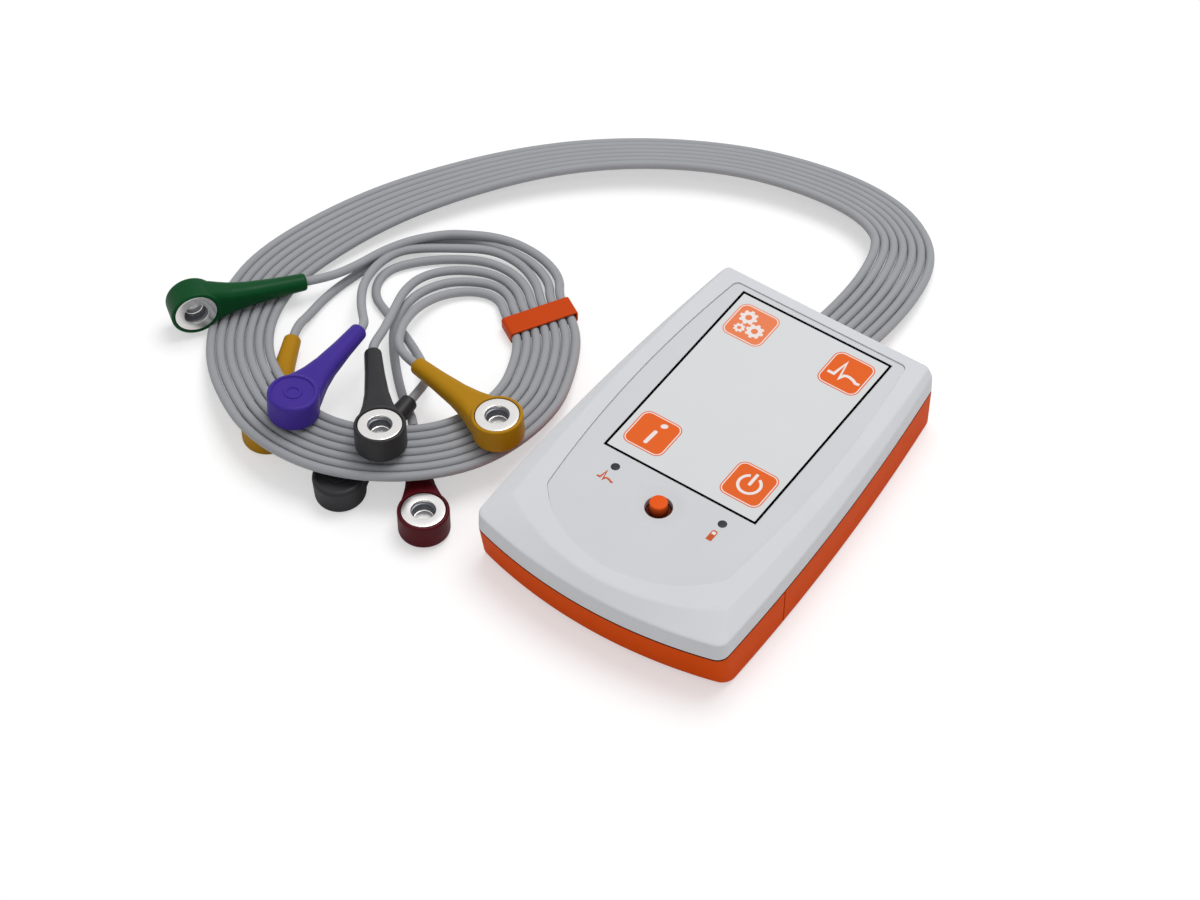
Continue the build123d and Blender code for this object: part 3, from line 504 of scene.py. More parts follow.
def loft(bm, rings, looped=False):
    """Closed form through rings of as many points, flat at its two ends unless it is looped."""
    rows = [[bm.verts.new(p) for p in points] for points in rings]
    for lower, upper in zip(rows, rows[1:] + (rows[:1] if looped else [])):
        for i, corner in enumerate(lower):
            j = (i + 1) % len(lower)
            bm.faces.new((corner, lower[j], upper[j], upper[i]))
    if not looped:
        bm.faces.new(list(reversed(rows[0])))
        bm.faces.new(rows[-1])
    return bm


def lathe(bm, profile, steps=FINE_STEPS, middle=(0, 0)):
    """Form turned from radius and height pairs, which start and end on its upright axis."""
    rows = []
    for radius, height in profile:
        points = circle(radius, steps, middle) if radius > 0 else [Vector(middle)]
        rows.append([bm.verts.new(p) for p in ring(points, height)])
    for lower, upper in zip(rows, rows[1:]):
        for i in range(steps):
            j = i + 1
            corners = [lower[i % len(lower)], lower[j % len(lower)],
                       upper[j % len(upper)], upper[i % len(upper)]]
            bm.faces.new(list(dict.fromkeys(corners)))
    return bm


def block(bm, low, high):
    """Box between two corners."""
    corners = [(low[0], low[1]), (high[0], low[1]), (high[0], high[1]), (low[0], high[1])]
    points = [Vector(p) for p in corners]
    return loft(bm, [ring(points, low[2]), ring(points, high[2])])


def twin_blocks(bm, low, high):
    """Box on the right side, and its mirror image on the left."""
    block(bm, low, high)
    return block(bm, (-high[0], *low[1:]), (-low[0], *high[1:]))


def post(bm, middle, radius, low_z, high_z, steps=POST_STEPS):
    """Upright round post."""
    points = circle(radius, steps, middle)
    return loft(bm, [ring(points, low_z), ring(points, high_z)])


def front_openings(seat, gap, low_z, high_z):
    """Cutters for the display, drawn in by its seat, and for the two indicators."""
    bm = bmesh.new()
    half = WINDOW_HALF - Vector((seat, seat, 0))
    block(bm, (-half.x, DISPLAY_Y - half.y, low_z), (half.x, DISPLAY_Y + half.y, high_z))
    for x in (-LIGHT_X, LIGHT_X):
        post(bm, (x, LIGHT_Y), LIGHT_R + gap, low_z, high_z)
    return bm


def shaped(bm, name):
    """Object made of closed forms, their faces turned outwards."""
    bmesh.ops.recalc_face_normals(bm, faces=bm.faces)
    mesh = bpy.data.meshes.new(name)
    bm.to_mesh(mesh)
    bm.free()
    return linked(mesh, name)


def linked(mesh, name):
    """Put a mesh or a curve into the scene as an object."""
    piece = bpy.data.objects.new(name, mesh)
    bpy.context.scene.collection.objects.link(piece)
    return piece


def applied(piece):
    """Plain mesh object in place of one with modifiers, or of a curve."""
    name = piece.name
    graph = bpy.context.evaluated_depsgraph_get()
    mesh = bpy.data.meshes.new_from_object(piece.evaluated_get(graph))
    bpy.data.objects.remove(piece)
    return linked(mesh, name)


def combined(piece, tool, operation):
    """Cut a closed form out of a piece, or join it on."""
    tool = shaped(tool, piece.name + "_tool")
    change = piece.modifiers.new(operation, "BOOLEAN")
    change.operation = operation
    change.solver = "EXACT"
    change.use_self = operation == "UNION"
    change.object = tool
    piece = applied(piece)
    bpy.data.objects.remove(tool)
    return piece


def printed(name, contours, z, thickness=PRINT_THICKNESS):
    """Thin flat print; a contour inside another is a hole."""
    flat = bpy.data.curves.new(name, "CURVE")
    flat.dimensions = "2D"
    flat.fill_mode = "BOTH"
    flat.extrude = thickness / 2
    for points in contours:
        line = flat.splines.new("POLY")
        line.points.add(len(points) - 1)
        for knot, point in zip(line.points, points):
            knot.co = (point.x, point.y, 0, 1)
        line.use_cyclic_u = True
    sheet = applied(linked(flat, name))
    sheet.data.transform(Matrix.Translation((0, 0, z + thickness / 2)))
    return sheet


def stroke(points, width):
    """Closed contour of a line of the given width, with mitred turns."""
    points = [Vector(p) for p in points]
    left, right = [], []
    for i, point in enumerate(points):
        before = (point - points[i - 1]).normalized() if i else None
        after = (points[i + 1] - point).normalized() if i + 1 < len(points) else None
        before, after = before or after, after or before
        along = (before + after).normalized()
        mitre = min(1 / max(along.dot(before), 0.3), 2.2)
        side = Vector((-along.y, along.x)) * (width / 2 * mitre)
        left.append(point + side)
        right.append(point - side)
    return left + right[::-1]


def moved(points, place, scale=1.0):
    """Points of a contour, scaled and moved."""
    return [Vector(place) + Vector(p) * scale for p in points]


def finished(piece, finish, body, slot, *nodes):
    """Shade a piece, give it its finish, and tie it to its body and nodes; its slot is not used.
    """
    if piece.type == "MESH":
        piece.data.shade_smooth()
        piece.data.set_sharp_from_angle(angle=SHARP_ANGLE)
    piece.data.materials.clear()
    piece.data.materials.append(finish)
    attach(piece, body)
    if nodes:
        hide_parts(*nodes)
    return piece


def painted(piece, finish, chosen):
    """Give a further finish to the faces whose middles are chosen."""
    piece.data.materials.append(finish)
    for face in piece.data.polygons:
        if chosen(face.center):
            face.material_index = len(piece.data.materials) - 1
    return piece


def node_finish(node, finish):
    """Give its finish to a node that shows as it is packed."""
    materials = frame["nodes"][node].data.materials
    materials.clear()
    materials.append(finish)


# Node trees

class Value:
    """A socket's value, which takes part in Python expressions."""

    def __init__(self, tree, socket):
        self.tree = tree
        self.socket = socket

    def maths(self, operation, first, second):
        """Value of one sum or product."""
        return self.tree.add("ShaderNodeMath", {"operation": operation}, {0: first, 1: second})

    def __add__(self, other):
        return self.maths("ADD", self, other)

    def __radd__(self, other):
        return self.maths("ADD", other, self)

    def __sub__(self, other):
        return self.maths("SUBTRACT", self, other)

    def __rsub__(self, other):
        return self.maths("SUBTRACT", other, self)

    def __mul__(self, other):
        return self.maths("MULTIPLY", self, other)

    def __rmul__(self, other):
        return self.maths("MULTIPLY", other, self)


class Tree:
    """A node tree, with one method that adds any node to it."""

    def __init__(self, tree):
        self.tree = tree
        self.tree.nodes.clear()

    def add(self, kind, settings=None, values=None, output=0):
        """Add a node: its settings, then its sockets' values or links, a list for several."""
        node = self.tree.nodes.new(kind)
        for key, setting in (settings or {}).items():
            if key == "stops":
                stops = node.color_ramp.elements
                stops.remove(stops[1])
                for number, (place, shade) in enumerate(setting):
                    stop = stops.new(place) if number else stops[0]
                    stop.position = place
                    stop.color = (*shade, 1)
            else:
                setattr(node, key, setting)
        for key, value in (values or {}).items():
            for item in value if isinstance(value, list) else [value]:
                if isinstance(item, Value):
                    self.tree.links.new(item.socket, node.inputs[key])
                else:
                    node.inputs[key].default_value = item
        return Value(self, node.outputs[output]) if len(node.outputs) else None


class Finish(Tree):
    """The node tree of one material."""

    def __init__(self, name):
        self.material = bpy.data.materials.new(name)
        self.material.use_nodes = True
        super().__init__(self.material.node_tree)

    def place(self):
        """Place on the piece, in metres."""
        return self.add("ShaderNodeTexCoord", output="Object")

    def noise(self, size, detail=2.0):
        """Noise whose blotches have about the given size in metres, around 0.5."""
        return self.add("ShaderNodeTexNoise", None,
                        {"Vector": self.place(), "Scale": 1 / size, "Detail": detail})

    def mixed(self, factor, first, second):
        """A colour between two, by a factor."""
        return self.add("ShaderNodeMix", {"data_type": "RGBA"},
                        {0: factor, 6: first, 7: second}, output=2)

    def surface(self, values):
        """End the tree with a surface of the given values."""
        shader = self.add("ShaderNodeBsdfPrincipled", None, values)
        self.add("ShaderNodeOutputMaterial", None, {"Surface": shader})
        return self.material


def tint(shade, share):
    """A colour made lighter or darker, with its alpha."""
    return (*[min(max(c * share, 0), 1) for c in shade], 1)


def moulded(name, shade, roughness=0.45, grain=0.00025, depth=0.000004, cloud=0.03, gloss=0.1):
    """Moulded plastic: a fine grain, faint clouds in its colour and a slightly uneven sheen."""
    finish = Finish(name)
    clouds = finish.noise(0.012, 3.0)
    handled = finish.noise(0.004)
    values = {
        "Base Color": finish.mixed(clouds, tint(shade, 1 - cloud), tint(shade, 1 + cloud)),
        "Roughness": roughness - 0.04 + handled * 0.08,
        "Specular IOR Level": gloss,
    }
    if depth:
        values["Normal"] = finish.add("ShaderNodeBump", None, {
            "Strength": 0.5, "Distance": depth, "Height": finish.noise(grain)})
    return finish.surface(values)


def metal(name, shade, roughness):
    """Plated metal, faintly mottled, with fine handling marks in its gloss."""
    finish = Finish(name)
    mottle = finish.noise(0.0016, 4.0)
    marks = finish.noise(0.0002, 3.0)
    return finish.surface({
        "Base Color": finish.mixed(mottle, tint(shade, 0.94), tint(shade, 1.04)),
        "Metallic": 1.0,
        "Roughness": roughness - 0.06 + marks * 0.12,
        "Normal": finish.add("ShaderNodeBump", None,
                             {"Strength": 0.3, "Distance": 0.000003, "Height": marks}),
    })


class Pattern(Tree):
    """Geometry Nodes that repeat a form; each named input is a size."""

    def __init__(self, name, sizes):
        super().__init__(bpy.data.node_groups.new(name, "GeometryNodeTree"))
        sockets = self.tree.interface
        for way in ("INPUT", "OUTPUT"):
            sockets.new_socket("Geometry", in_out=way, socket_type="NodeSocketGeometry")
        self.values = {}
        for size, value in sizes.items():
            kind = "NodeSocketInt" if isinstance(value, int) else "NodeSocketFloat"
            socket = sockets.new_socket(size, in_out="INPUT", socket_type=kind)
            self.values[socket.identifier] = value

    def given(self, name):
        """One of the tree's named inputs."""
        return self.add("NodeGroupInput", output=name)

    def vector(self, parts):
        """Vector with the given parts, the others 0."""
        return self.add("ShaderNodeCombineXYZ", None, parts)

    def close(self, geometry, finish):
        """End the tree: real instances with their material."""
        real = self.add("GeometryNodeRealizeInstances", None, {"Geometry": geometry})
        real = self.add("GeometryNodeSetMaterial", None, {"Geometry": real, "Material": finish})
        self.add("NodeGroupOutput", None, {"Geometry": real})

    def made(self, bm, name):
        """Run the tree on a mesh and keep the result as a plain mesh."""
        host = shaped(bm, name)
        change = host.modifiers.new(name, "NODES")
        change.node_group = self.tree
        for identifier, value in self.values.items():
            change[identifier] = value
        return applied(host)


# Cords

def ribbon_points(place, pitch):
    """Route of one lead in the ribbon; place counts pitches from the middle, outwards."""
    points = []
    for i, (x, y, z, tilt) in enumerate(RIBBON):
        before = Vector((x, y)) - Vector(RIBBON[i - 1][:2]) if i else Vector((0, 1))
        after = Vector(RIBBON[i + 1][:2]) - Vector((x, y)) if i + 1 < len(RIBBON) else before
        along = before.normalized() + after.normalized()
        mitre = 2 / along.length
        step = Vector((along.y, -along.x)).normalized()
        step *= place * pitch * math.cos(math.radians(tilt)) * mitre
        rise = place * pitch * math.sin(math.radians(tilt))
        points.append(Vector((x + step.x, y + step.y, z - rise)))
    return points


def snap_frame(name):
    """Place of one connector: its disc's middle, x towards its lead, z out of its metal face."""
    middle, towards, face = (Vector(v) for v in SNAPS[name])
    x_way = (towards - middle).normalized()
    y_way = face.cross(x_way).normalized()
    z_way = x_way.cross(y_way)
    turn = Matrix((x_way, y_way, z_way)).transposed().to_4x4()
    return Matrix.Translation(middle) @ turn


def lead_route(number, name, pitch):
    """Points of one lead from the plug to its connector."""
    place = snap_frame(name)
    middle_place = (len(LOOSE) - 1) / 2
    points = ribbon_points(middle_place - number, pitch) + [Vector(p) for p in LOOSE[name]]
    points += [place @ Vector((SNAP_REACH + STRAIGHT[name], 0, 0)),
               place @ Vector((SNAP_REACH, 0, 0))]
    return points


# Operators

class RECORDER_OT_stage(bpy.types.Operator):
    """Set up the camera, the pale floor and the soft light."""
    bl_idname = "recorder.stage"
    bl_label = "Stage"

    def execute(self, context):
        scene, stage = context.scene, context.scene.recorder_stage
        scene.view_settings.view_transform = "Standard"
        lens = bpy.data.cameras.new("camera")
        lens.lens = stage.lens
        lens.sensor_width = 36
        lens.sensor_fit = "HORIZONTAL"
        camera = linked(lens, "camera")
        camera.location = stage.camera_place
        aim = Vector(stage.camera_aim) - camera.location
        camera.rotation_euler = aim.to_track_quat("-Z", "Y").to_euler()
        scene.camera = camera

        floor = shaped(block(bmesh.new(), (-FLOOR_HALF, -FLOOR_HALF, -FLOOR_DEPTH),
                             (FLOOR_HALF, FLOOR_HALF, -FLOOR_DROP)), "floor")
        floor.data.materials.append(self.floor_finish())

        lamp = bpy.data.lights.new("key", "AREA")
        lamp.shape = "DISK"
        lamp.size = stage.key_size
        lamp.energy = stage.key_power
        key = linked(lamp, "key")
        key.location = stage.key_place
        key.rotation_euler = (-key.location).to_track_quat("-Z", "Y").to_euler()

        world = bpy.data.worlds.new("sky")
        world.use_nodes = True
        sky = Tree(world.node_tree)
        seen = sky.add("ShaderNodeLightPath", output="Is Camera Ray")
        mirrored = sky.add("ShaderNodeLightPath", output="Is Glossy Ray")
        light = sky.add("ShaderNodeBackground", None, {
            "Color": (1, 1, 1, 1),
            "Strength": stage.sky_strength + seen * (1 - stage.sky_strength)
            + mirrored * SKY_IN_GLOSS})
        sky.add("ShaderNodeOutputWorld", None, {"Surface": light})
        scene.world = world
        return {"FINISHED"}

    def floor_finish(self):
        """White that the camera sees lifted, and the lamps as it is."""
        finish = Finish("floor_white")
        camera = finish.add("ShaderNodeLightPath", output="Is Camera Ray")
        lift = bpy.context.scene.recorder_stage.floor_lift
        greys = [tint((1, 1, 1), share) for share in (FLOOR_WHITE, FLOOR_SEEN, 0, lift)]
        return finish.surface({
            "Base Color": finish.mixed(camera, *greys[:2]),
            "Emission Color": finish.mixed(camera, *greys[2:]),
            "Emission Strength": 1.0, "Roughness": 1.0, "Specular IOR Level": 0.0,
        })


class RECORDER_OT_plug(bpy.types.Operator):
    """Build the lead plug with its ribbed grip, and finish the socket."""
    bl_idname = "recorder.plug"
    bl_label = "Lead plug"

    def execute(self, context):
        jacket = moulded("plug_grey", context.scene.recorder_leads.jacket_colour, 0.5)
        half_w, half_h = GRIP_SIZE[0] / 2, GRIP_SIZE[1] / 2
        plug_w, plug_h = PLUG_SIZE[0] / 2, PLUG_SIZE[1] / 2
        # y, half width, half height and corner radius of the stations along the plug
        stations = [
            (PLUG_LOW.y, plug_w, plug_h, 0.0005), (GRIP_Y, plug_w, plug_h, 0.0005),
            (GRIP_Y, half_w, half_h, 0.0012), (GRIP_Y + 0.0022, half_w, half_h, 0.0012),
            (GRIP_Y + 0.0026, half_w - 0.0004, half_h - 0.0004, 0.0011),
            (PLUG_HIGH.y - 0.0006, half_w - 0.0007, half_h - 0.0012, 0.001),
            (PLUG_HIGH.y, half_w - 0.0011, half_h - 0.0016, 0.0008),
        ]
        rings = [[Vector((p.x, y, PLUG_Z + p.y)) for p in oblong(w, h, r)]
                 for y, w, h, r in stations]
        rings = softened(rings, [0, 0.0003, 0.0004, 0.0002, 0.0003])
        finished(shaped(loft(bmesh.new(), rings), "plug_grip"), jacket, "lead_set", "plug",
                 "lead_plug")
        ribs = Pattern("grip_ribs", GRIP_RIBS)
        row = ribs.add("GeometryNodeMeshLine", None, {
            "Count": ribs.given("Count"),
            "Start Location": (0, GRIP_Y + 0.0035, PLUG_Z),
            "Offset": ribs.vector({"Y": ribs.given("Pitch")}),
        })
        hoop = ribs.add("GeometryNodeCurvePrimitiveQuadrilateral", {"mode": "RECTANGLE"},
                        {"Width": ribs.given("Width"), "Height": ribs.given("Height")})
        hoop = ribs.add("GeometryNodeFilletCurve", {"mode": "POLY"},
                        {"Curve": hoop, "Radius": 0.001, "Count": 5})
        section = ribs.add("GeometryNodeCurvePrimitiveCircle", None,
                           {"Resolution": 8, "Radius": ribs.given("Thickness") * 0.5},
                           output="Curve")
        hoop = ribs.add("GeometryNodeCurveToMesh", None,
                        {"Curve": hoop, "Profile Curve": section})
        hoops = ribs.add("GeometryNodeInstanceOnPoints", None, {
            "Points": row, "Instance": hoop, "Rotation": (math.pi / 2, 0, 0)})
        ribs.close(hoops, jacket)
        finished(ribs.made(bmesh.new(), "plug_ribs"), jacket, "lead_set", "plug")
        node_finish("lead_socket", moulded("socket_black", srgb("2b2b2e"), 0.5))
        return {"FINISHED"}


class RECORDER_OT_band(bpy.types.Operator):
    """Build the flat band that gathers the leads."""
    bl_idname = "recorder.band"
    bl_label = "Band"

    def execute(self, context):
        leads = context.scene.recorder_leads
        start, end = Vector(RIBBON[-2][:3]), Vector(RIBBON[-1][:3])
        along = (end - start).normalized()
        across = Vector((along.y, -along.x, 0)).normalized()
        up = across.cross(along)
        half_w = ((len(LOOSE) - 1) * leads.pitch + leads.diameter) / 2 + BAND_GAP_ACROSS
        half_h = leads.diameter / 2 + BAND_GAP_ABOVE
        middle = (start + end) / 2

        def section(t, grow, radius):
            spot = middle + along * (t * BAND_LENGTH / 2)
            return [spot + across * p.x + up * p.y
                    for p in oblong(half_w + grow, half_h + grow, radius)]

        rings = [section(-1, 0, 0.0003), section(-1, BAND_WALL, 0.0007),
                 section(1, BAND_WALL, 0.0007), section(1, 0, 0.0003)]
        rings = softened([rings[3]] + rings + [rings[0]], [0.00015, 0.0003, 0.0003, 0.00015])[1:-1]
        piece = shaped(loft(bmesh.new(), rings, looped=True), "band_sleeve")
        shade = moulded("band_orange", leads.band_colour, 0.42)
        finished(piece, shade, "lead_set", "band", "lead_band")
        return {"FINISHED"}


class RECORDER_OT_connectors(bpy.types.Operator):
    """Build the seven snap connectors, each a moulded housing with a metal cup."""
    bl_idname = "recorder.connectors"
    bl_label = "Snap connectors"

    def execute(self, context):
        leads = context.scene.recorder_leads
        housing, cup = self.housing(), self.cup()
        nickel = metal("cup_nickel", srgb("f0eeec"), 0.22)
        # Painted shade: the bore's wall and step get a darker metal, standing in for the shade
        # inside the cup.
        bore = metal("cup_bore", srgb("62646a"), 0.35)
        for name in LOOSE:
            place = snap_frame(name)
            gloss = SNAP_DARK_GLOSS if name in ("charcoal", "black") else SNAP_GLOSS
            shade = moulded(f"housing_{name}", getattr(leads, name), 0.4, cloud=0.05,
                            gloss=gloss)
            for form, title, finish, slot, node in (
                    (housing, "housing", shade, f"snap_{name}", "snap_housing"),
                    (cup, "cup", nickel, "snap_metal", "snap_socket")):
                piece = linked(form.data.copy(), f"{title}_{name}")
                piece.data.transform(place)
                finished(piece, finish, "lead_set", slot, f"{node}_{name}")
            # Painted shade: darker metal on the bore's wall and step, where shade falls inside the
            # cup.
            painted(piece, bore, lambda middle: self.in_bore(place.inverted() @ middle))
        for form in (housing, cup):
            bpy.data.objects.remove(form)
        return {"FINISHED"}

    def housing(self):
        """A disc with a tail that blends into it, hollowed for the cup, its back in relief."""
        bm = lathe(bmesh.new(), eased([
            (0, -SNAP_HALF), (SNAP_R, -SNAP_HALF), (SNAP_R, SNAP_HALF), (0, SNAP_HALF),
        ], [0.0008, 0.0003]))
        loft(bm, [[Vector((x, p.x, p.y)) for p in oblong(w, h, r)] for x, w, h, r in TAIL])
        piece = shaped(bm, "housing")
        remesh = piece.modifiers.new("skin", "REMESH")
        remesh.mode = "VOXEL"
        remesh.voxel_size = VOXEL
        smooth = piece.modifiers.new("soften", "SMOOTH")
        smooth.factor = 0.5
        smooth.iterations = 5
        piece = applied(piece)
        wide, high, base = CUP_R + CUP_GAP, SNAP_HALF + 0.0002, SNAP_HALF - CUP_HEIGHT
        hollow = [(0, base), (wide, base), (wide, high), (0, high)]
        piece = combined(piece, lathe(bmesh.new(), hollow), "DIFFERENCE")
        low, sunk, figure = -SNAP_HALF - 0.0002, SNAP_RELIEF - SNAP_HALF, -SNAP_HALF + 0.00008
        relief = [(0, low), (SNAP_BACK_R, low), (SNAP_BACK_R - 0.0002, sunk), (0.0021, sunk),
                  (0.002, figure), (0.0014, figure), (0.0013, sunk), (0, sunk)]
        return combined(piece, lathe(bmesh.new(), relief, ROUND_STEPS), "DIFFERENCE")

    def in_bore(self, spot):
        """Whether a spot of the cup is on the wall or the step of its bore, which take painted
        shade.
        """
        return spot.xy.length < CUP_BORE_R - TOUCH and spot.z > SNAP_HALF - CUP_DEPTH + 0.0002

    def cup(self):
        """A turned cup with a flat rim, a stepped bore and a shallow floor."""
        top, floor = SNAP_HALF - CUP_SUNK, SNAP_HALF - CUP_DEPTH
        profile = eased([
            (0, SNAP_HALF - CUP_HEIGHT), (CUP_R, SNAP_HALF - CUP_HEIGHT), (CUP_R, top),
            (CUP_BORE_R, top), (CUP_BORE_R, top - CUP_STEP_Z),
            (CUP_BORE_R - CUP_STEP, top - CUP_STEP_Z - 0.0001), (CUP_BORE_R - CUP_STEP, floor),
            (0, floor + 0.0001),
        ], [0, 0.00025, 0.0001, 0, 0.0001, 0.0003])
        return shaped(lathe(bmesh.new(), profile), "cup")


class RECORDER_OT_leads(bpy.types.Operator):
    """Lay the seven leads: one ribbon that parts after the band."""
    bl_idname = "recorder.leads"
    bl_label = "Leads"

    def execute(self, context):
        leads = context.scene.recorder_leads
        jacket = moulded("lead_grey", leads.jacket_colour, 0.42, grain=0.0002, cloud=0.04)
        for number, name in enumerate(LOOSE):
            route = lead_route(number, name, leads.pitch)
            curve = bpy.data.curves.new(f"wire_{name}", "CURVE")
            curve.dimensions = "3D"
            curve.bevel_depth = leads.diameter / 2
            curve.bevel_resolution = 4
            curve.resolution_u = 8
            curve.use_fill_caps = True
            line = curve.splines.new("NURBS")
            line.points.add(len(route) - 1)
            for knot, point in zip(line.points, route):
                knot.co = (*point, 1)
            line.order_u = 3
            line.use_endpoint_u = True
            wire = finished(linked(curve, f"wire_{name}"), jacket, "lead_set", "lead",
                            f"lead_{name}")
            on_it = [bpy.data.objects[f"housing_{name}"], bpy.data.objects[f"cup_{name}"]]
            if number == len(LOOSE) // 2:
                on_it += [bpy.data.objects[n] for n in ("plug_grip", "plug_ribs", "band_sleeve")]
        return {"FINISHED"}


class RECORDER_OT_upper_shell(bpy.types.Operator):
    """Build the upper shell: wall, sloping shoulders, flat crown and the panel's recess."""
    bl_idname = "recorder.upper_shell"
    bl_label = "Upper shell"

    def execute(self, context):
        case = context.scene.recorder_case
        roof_z = CROWN_Z - ROOF
        rings = [
            level(roof_z, CASE_PLAN, inset=WALL), level(SPLIT_Z, CASE_PLAN, inset=WALL),
            level(SPLIT_Z, CASE_PLAN), level(CREASE_Z, CASE_PLAN, inset=CREASE_INSET),
            level(CROWN_Z, CROWN_PLAN), level(CROWN_Z, PANEL_PLAN), level(RECESS_Z, PANEL_PLAN),
        ]
        rings = softened(rings, [0, 0.0003, case.crease_softness, case.crown_softness,
                                 case.recess_softness])
        shell = shaped(loft(bmesh.new(), rings), "shell_upper")
        low, high = roof_z - OVERCUT, CROWN_Z + OVERCUT
        openings = front_openings(DISPLAY_SEAT, FIT_GAP, low, high)
        post(openings, (0, BUTTON_Y), BUTTON_BASE_R + FIT_GAP, low, high, ROUND_STEPS)
        shell = combined(shell, openings, "DIFFERENCE")
        posts = bmesh.new()
        for middle in POSTS:
            post(posts, middle, POST_R, SPLIT_Z, roof_z + 0.0005)
        shell = combined(shell, posts, "UNION")
        grey = moulded("shell_grey", case.upper_colour, 0.4)
        finished(shell, grey, "case", "upper_case", "top_shell")
        return {"FINISHED"}


class RECORDER_OT_front_panel(bpy.types.Operator):
    """Build the front panel, dished round the button."""
    bl_idname = "recorder.front_panel"
    bl_label = "Front panel"

    def execute(self, context):
        case = context.scene.recorder_case
        rings = softened([level(RECESS_Z, PANEL_PLAN, inset=PANEL_GAP),
                          level(PANEL_Z, PANEL_PLAN, inset=PANEL_GAP),
                          level(PANEL_Z, PANEL_PLAN, inset=PANEL_LAND)], [EDGE_BREAK])
        panel = shaped(loft(bmesh.new(), rings), "panel")
        low, high = RECESS_Z - OVERCUT, PANEL_Z + OVERCUT
        panel = combined(panel, front_openings(0, FIT_GAP / 2, low, high), "DIFFERENCE")
        hole_r = BUTTON_BASE_R + FIT_GAP
        start_r = hole_r + 0.0001
        rim = [(start_r + (DISH_R - start_r) * i / DISH_STEPS,
                PANEL_Z - DISH_DEPTH * (1 + math.cos(math.pi * i / DISH_STEPS)) / 2)
               for i in range(DISH_STEPS + 1)]
        profile = [(0, low), (hole_r, low), (hole_r, rim[0][1] - 0.0001), *rim,
                   (DISH_R + 0.0003, high), (0, high)]
        dish = lathe(bmesh.new(), profile, middle=(0, BUTTON_Y))
        panel = combined(panel, dish, "DIFFERENCE")
        grey = moulded("panel_grey", case.panel_colour, 0.38)
        finished(panel, grey, "case", "panel_face", "front_panel")
        return {"FINISHED"}


class RECORDER_OT_display(bpy.types.Operator):
    """Build the display window with its thin frame, and finish the module under it."""
    bl_idname = "recorder.display"
    bl_label = "Display"

    def execute(self, context):
        case = context.scene.recorder_case

        def border(inset, radius=0.0003):
            return moved(oblong(WINDOW_HALF.x - inset, WINDOW_HALF.y - inset, radius),
                         (0, DISPLAY_Y))

        edge = border(WINDOW_GAP)
        rings = softened([ring(edge, RECESS_Z), ring(edge, PANEL_Z),
                          ring(border(WINDOW_LAND), PANEL_Z)], [EDGE_BREAK])
        window = shaped(loft(bmesh.new(), rings), "window")
        glass = moulded("window_pale", case.window_colour, 0.22, depth=0.0, cloud=0.01)
        finished(window, glass, "case", "display_glass", "display_window")
        black = moulded("frame_black", srgb("020203"), 0.6, depth=0.0, gloss=0.0)
        line = printed("window_frame", [border(FRAME_INSET),
                                        border(FRAME_INSET + FRAME_WIDTH, 0.0002)], PANEL_Z)
        finished(line, black, "case", "display_glass")
        node_finish("display_module", metal("module_back", srgb("9a9ca0"), 0.45))
        return {"FINISHED"}


